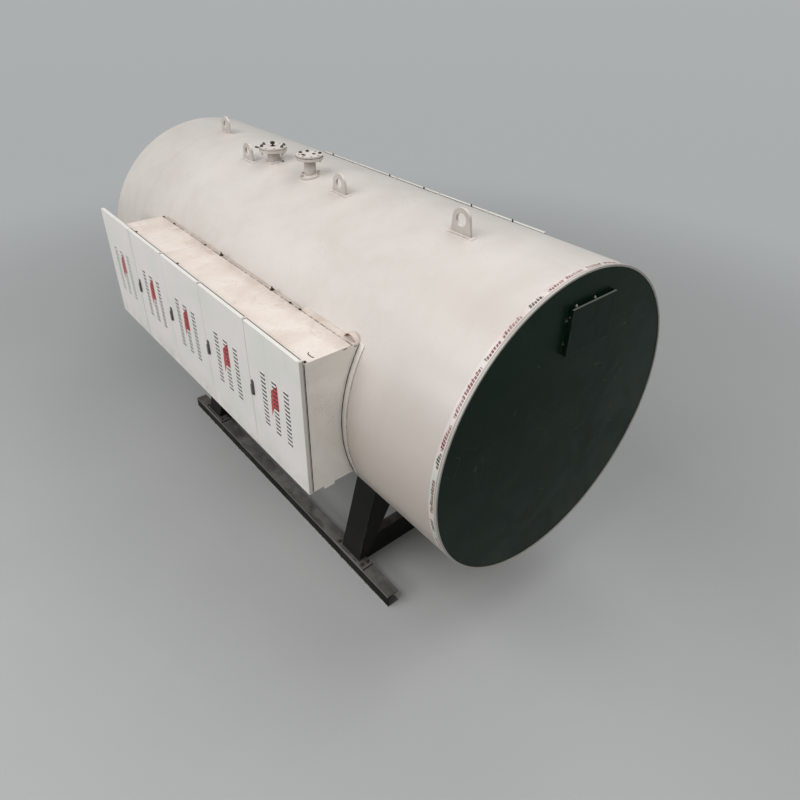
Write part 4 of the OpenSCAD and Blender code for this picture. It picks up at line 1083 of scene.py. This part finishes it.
def flashing_lines(side):
    """The dark joint behind the flashing and the uneven bead of sealant on its outer edge."""
    arc = [math.radians(a) for a in (59.5 + 53.0 * i / 40 for i in range(41))]

    def run(back, radius):
        return [tuple(cabinet(side, back, radius * math.sin(a), AXIS + radius * math.cos(a))) for a in arc]
    grown(f"{side}_flashing_joint", path_mesh("arc", [run(-0.0012, RADIUS + 0.0052)]), PATTERNS["weld"],
          {"Bead Radius": 0.0018, "Ripple Pitch": 0.02, "Unevenness": 0.3, "Seed": 27}, "rubber")
    grown(f"{side}_flashing_sealant", path_mesh("arc", [run(-0.0405, RADIUS + 0.0008)]), PATTERNS["weld"],
          {"Bead Radius": 0.0036, "Ripple Pitch": 0.006, "Unevenness": 0.7, "Seed": 29}, "sealant")


def gutter_lines(side):
    """Sealant where the gutter and its cover meet the shell, and small dark marks at the end wall's head."""
    top = TOP_PLATE - 0.0030
    cover = [tuple(cabinet(side, back, 0.8112, top)) for back in (0.122, 0.512)]
    grown(f"{side}_cover_sealant", path_mesh("line", [cover]), PATTERNS["weld"],
          {"Bead Radius": 0.0038, "Ripple Pitch": 0.009, "Unevenness": 0.5, "Seed": 33}, "cream weld")
    sunk = math.sqrt(RADIUS**2 - (TOP_PLATE - AXIS - 0.0190)**2)
    length = [tuple(cabinet(side, back, sunk + 0.0012, TOP_PLATE - 0.0190)) for back in (0.515, 2.450)]
    grown(f"{side}_gutter_joint", path_mesh("line", [length]), PATTERNS["weld"],
          {"Bead Radius": 0.0017, "Ripple Pitch": 0.012, "Unevenness": 0.6, "Seed": 35}, "cream weld")

    def marks(form):
        cabinet_block(form, side, (-0.0012, 0.0006), (0.838, 0.856), (TOP_PLATE - 0.016, TOP_PLATE - 0.011), 0.0004)
        cabinet_block(form, side, (-0.0012, 0.0006), (0.900, 0.926), (TOP_PLATE - 0.010, TOP_PLATE - 0.006), 0.0004)
    made_piece(f"{side}_head_marks", marks, "dark bolt")

    def tab(form):
        cabinet_block(form, side, (-0.0010, 0.0020), (1.020, 1.092), (DOOR_LOW - 0.012, DOOR_LOW + 0.010), 0.0005)
    made_piece(f"{side}_floor_tab", tab, "end wall")


def bent_wire():
    """A bit of bent wire left on the left top plate."""
    path = [tuple(cabinet("left", b, o, TOP_PLATE + 0.0018)) for b, o in ((0.078, 1.086), (0.072, 1.094), (0.066, 1.097),
                                                                       (0.045, 1.098), (0.028, 1.097), (0.022, 1.090))]
    grown("bent_wire", path_mesh("wire", [path]), PATTERNS["weld"],
          {"Bead Radius": 0.0022, "Ripple Pitch": 0.003, "Unevenness": 0.1, "Seed": 31}, "dark bolt")


for side in SIDES:
    cabinet_seals(side)
    cabinet_marks(side)
    flashing_lines(side)
    gutter_lines(side)
bent_wire()


# stage, lamps and camera
def stage():
    """A plain pale floor that carries the boiler's shadow, and stays as pale where the lamps no longer reach."""
    mesh = bpy.data.meshes.new("floor")
    mesh.from_pydata([(-300, -300, 0), (300, -300, 0), (300, 300, 0), (-300, 300, 0)], [], [(0, 1, 2, 3)])
    material, tree, shader, at = finish_of("pale floor", 0.5, specular=0.3)
    clouds = noise(tree, at, 0.6, 4.0, 0.6)
    x, y, z = split(tree, at)
    away = calc(tree, "SQRT", calc(tree, "ADD", calc(tree, "POWER", x, 2.0), calc(tree, "POWER", y, 2.0)))
    far = fade(tree, away, 3.2, 9.0)
    near_colour = mixed(tree, clouds, (0.425, 0.440, 0.442, 1), (0.470, 0.484, 0.488, 1))
    put(shader.inputs["Base Color"], mixed(tree, far, near_colour, (0.02, 0.02, 0.02, 1)))
    near_rough = times(tree, calc(tree, "SUBTRACT", 1.0, far), fade(tree, clouds, 0.3, 0.7, 0.42, 0.55))
    put(shader.inputs["Roughness"], calc(tree, "ADD", near_rough, times(tree, far, 0.7)))
    path = node(tree, "ShaderNodeLightPath").outputs
    seen = calc(tree, "MAXIMUM", path["Is Camera Ray"], path["Is Glossy Ray"])
    shader.inputs["Emission Color"].default_value = (0.375, 0.390, 0.392, 1)
    put(shader.inputs["Emission Strength"], times(tree, seen, far))
    mesh.materials.append(material)
    floor = bpy.data.objects.new("floor", mesh)
    bpy.context.scene.collection.objects.link(floor)


def lamp(name, place, aim, size, power, colour=(1.0, 1.0, 1.0)):
    light = bpy.data.lights.new(name, "AREA")
    light.shape, light.size, light.size_y = "RECTANGLE", size[0], size[1]
    light.energy, light.color = power, colour
    held = bpy.data.objects.new(name, light)
    turn = (Vector(aim) - Vector(place)).to_track_quat("-Z", "Y")
    held.matrix_world = Matrix.Translation(place) @ turn.to_matrix().to_4x4()
    bpy.context.scene.collection.objects.link(held)


def lighting():
    lamp("roof light", (-0.6, -6.4, 9.6), (-0.2, -0.5, 1.0), (10.0, 5.0), 480, (1.0, 0.982, 0.962))
    lamp("crown light", (2.5, 3.6, 9.6), (0.8, 0.2, 1.0), (9.0, 5.0), 350, (1.0, 0.985, 0.97))
    lamp("flank light", (-1.5, -11.0, 6.0), (-0.8, -0.8, 1.4), (8.0, 3.0), 400, (1.0, 0.985, 0.97))
    lamp("front light", (10.0, -2.5, 11.0), (1.6, 0.0, 1.4), (5.0, 5.0), 400, (1.0, 0.982, 0.962))
    world = bpy.data.worlds.new("hall")
    world.use_nodes = True
    bpy.context.scene.world = world
    tree = world.node_tree
    light = tree.nodes["Background"]
    light.inputs["Color"].default_value = (0.93, 0.96, 1.0, 1)
    light.inputs["Strength"].default_value = 0.12
    backdrop = tree.nodes.new("ShaderNodeBackground")
    backdrop.inputs["Color"].default_value = (0.375, 0.390, 0.392, 1)
    path = tree.nodes.new("ShaderNodeLightPath")
    seen = calc(tree, "MAXIMUM", path.outputs["Is Camera Ray"], path.outputs["Is Glossy Ray"])
    either = tree.nodes.new("ShaderNodeMixShader")
    put(either.inputs[0], seen)
    put(either.inputs[1], light.outputs[0])
    put(either.inputs[2], backdrop.outputs[0])
    put(tree.nodes["World Output"].inputs["Surface"], either.outputs[0])


def camera():
    """Placed from the photographed circles and edges, with the lens axis a little above the picture's middle."""
    turn, tilt, roll = math.radians(49.37), math.radians(32.22), math.radians(1.08)
    back = Vector((math.sin(turn) * math.cos(tilt), -math.cos(turn) * math.cos(tilt), math.sin(tilt)))
    right = (-back).cross(Vector((0, 0, 1))).normalized()
    up = right.cross(-back)
    right, up = math.cos(roll) * right + math.sin(roll) * up, math.cos(roll) * up - math.sin(roll) * right
    data = bpy.data.cameras.new("camera")
    data.sensor_width, data.lens = 36.0, 28.54
    data.shift_y = -0.055
    held = bpy.data.objects.new("camera", data)
    place = (FRONT + 1.5445, -2.520, 3.759)
    held.matrix_world = Matrix.Translation(place) @ Matrix((right, up, back)).transposed().to_4x4()
    bpy.context.scene.collection.objects.link(held)
    bpy.context.scene.camera = held


stage()
lighting()
camera()
bpy.context.scene.view_settings.view_transform = "Standard"
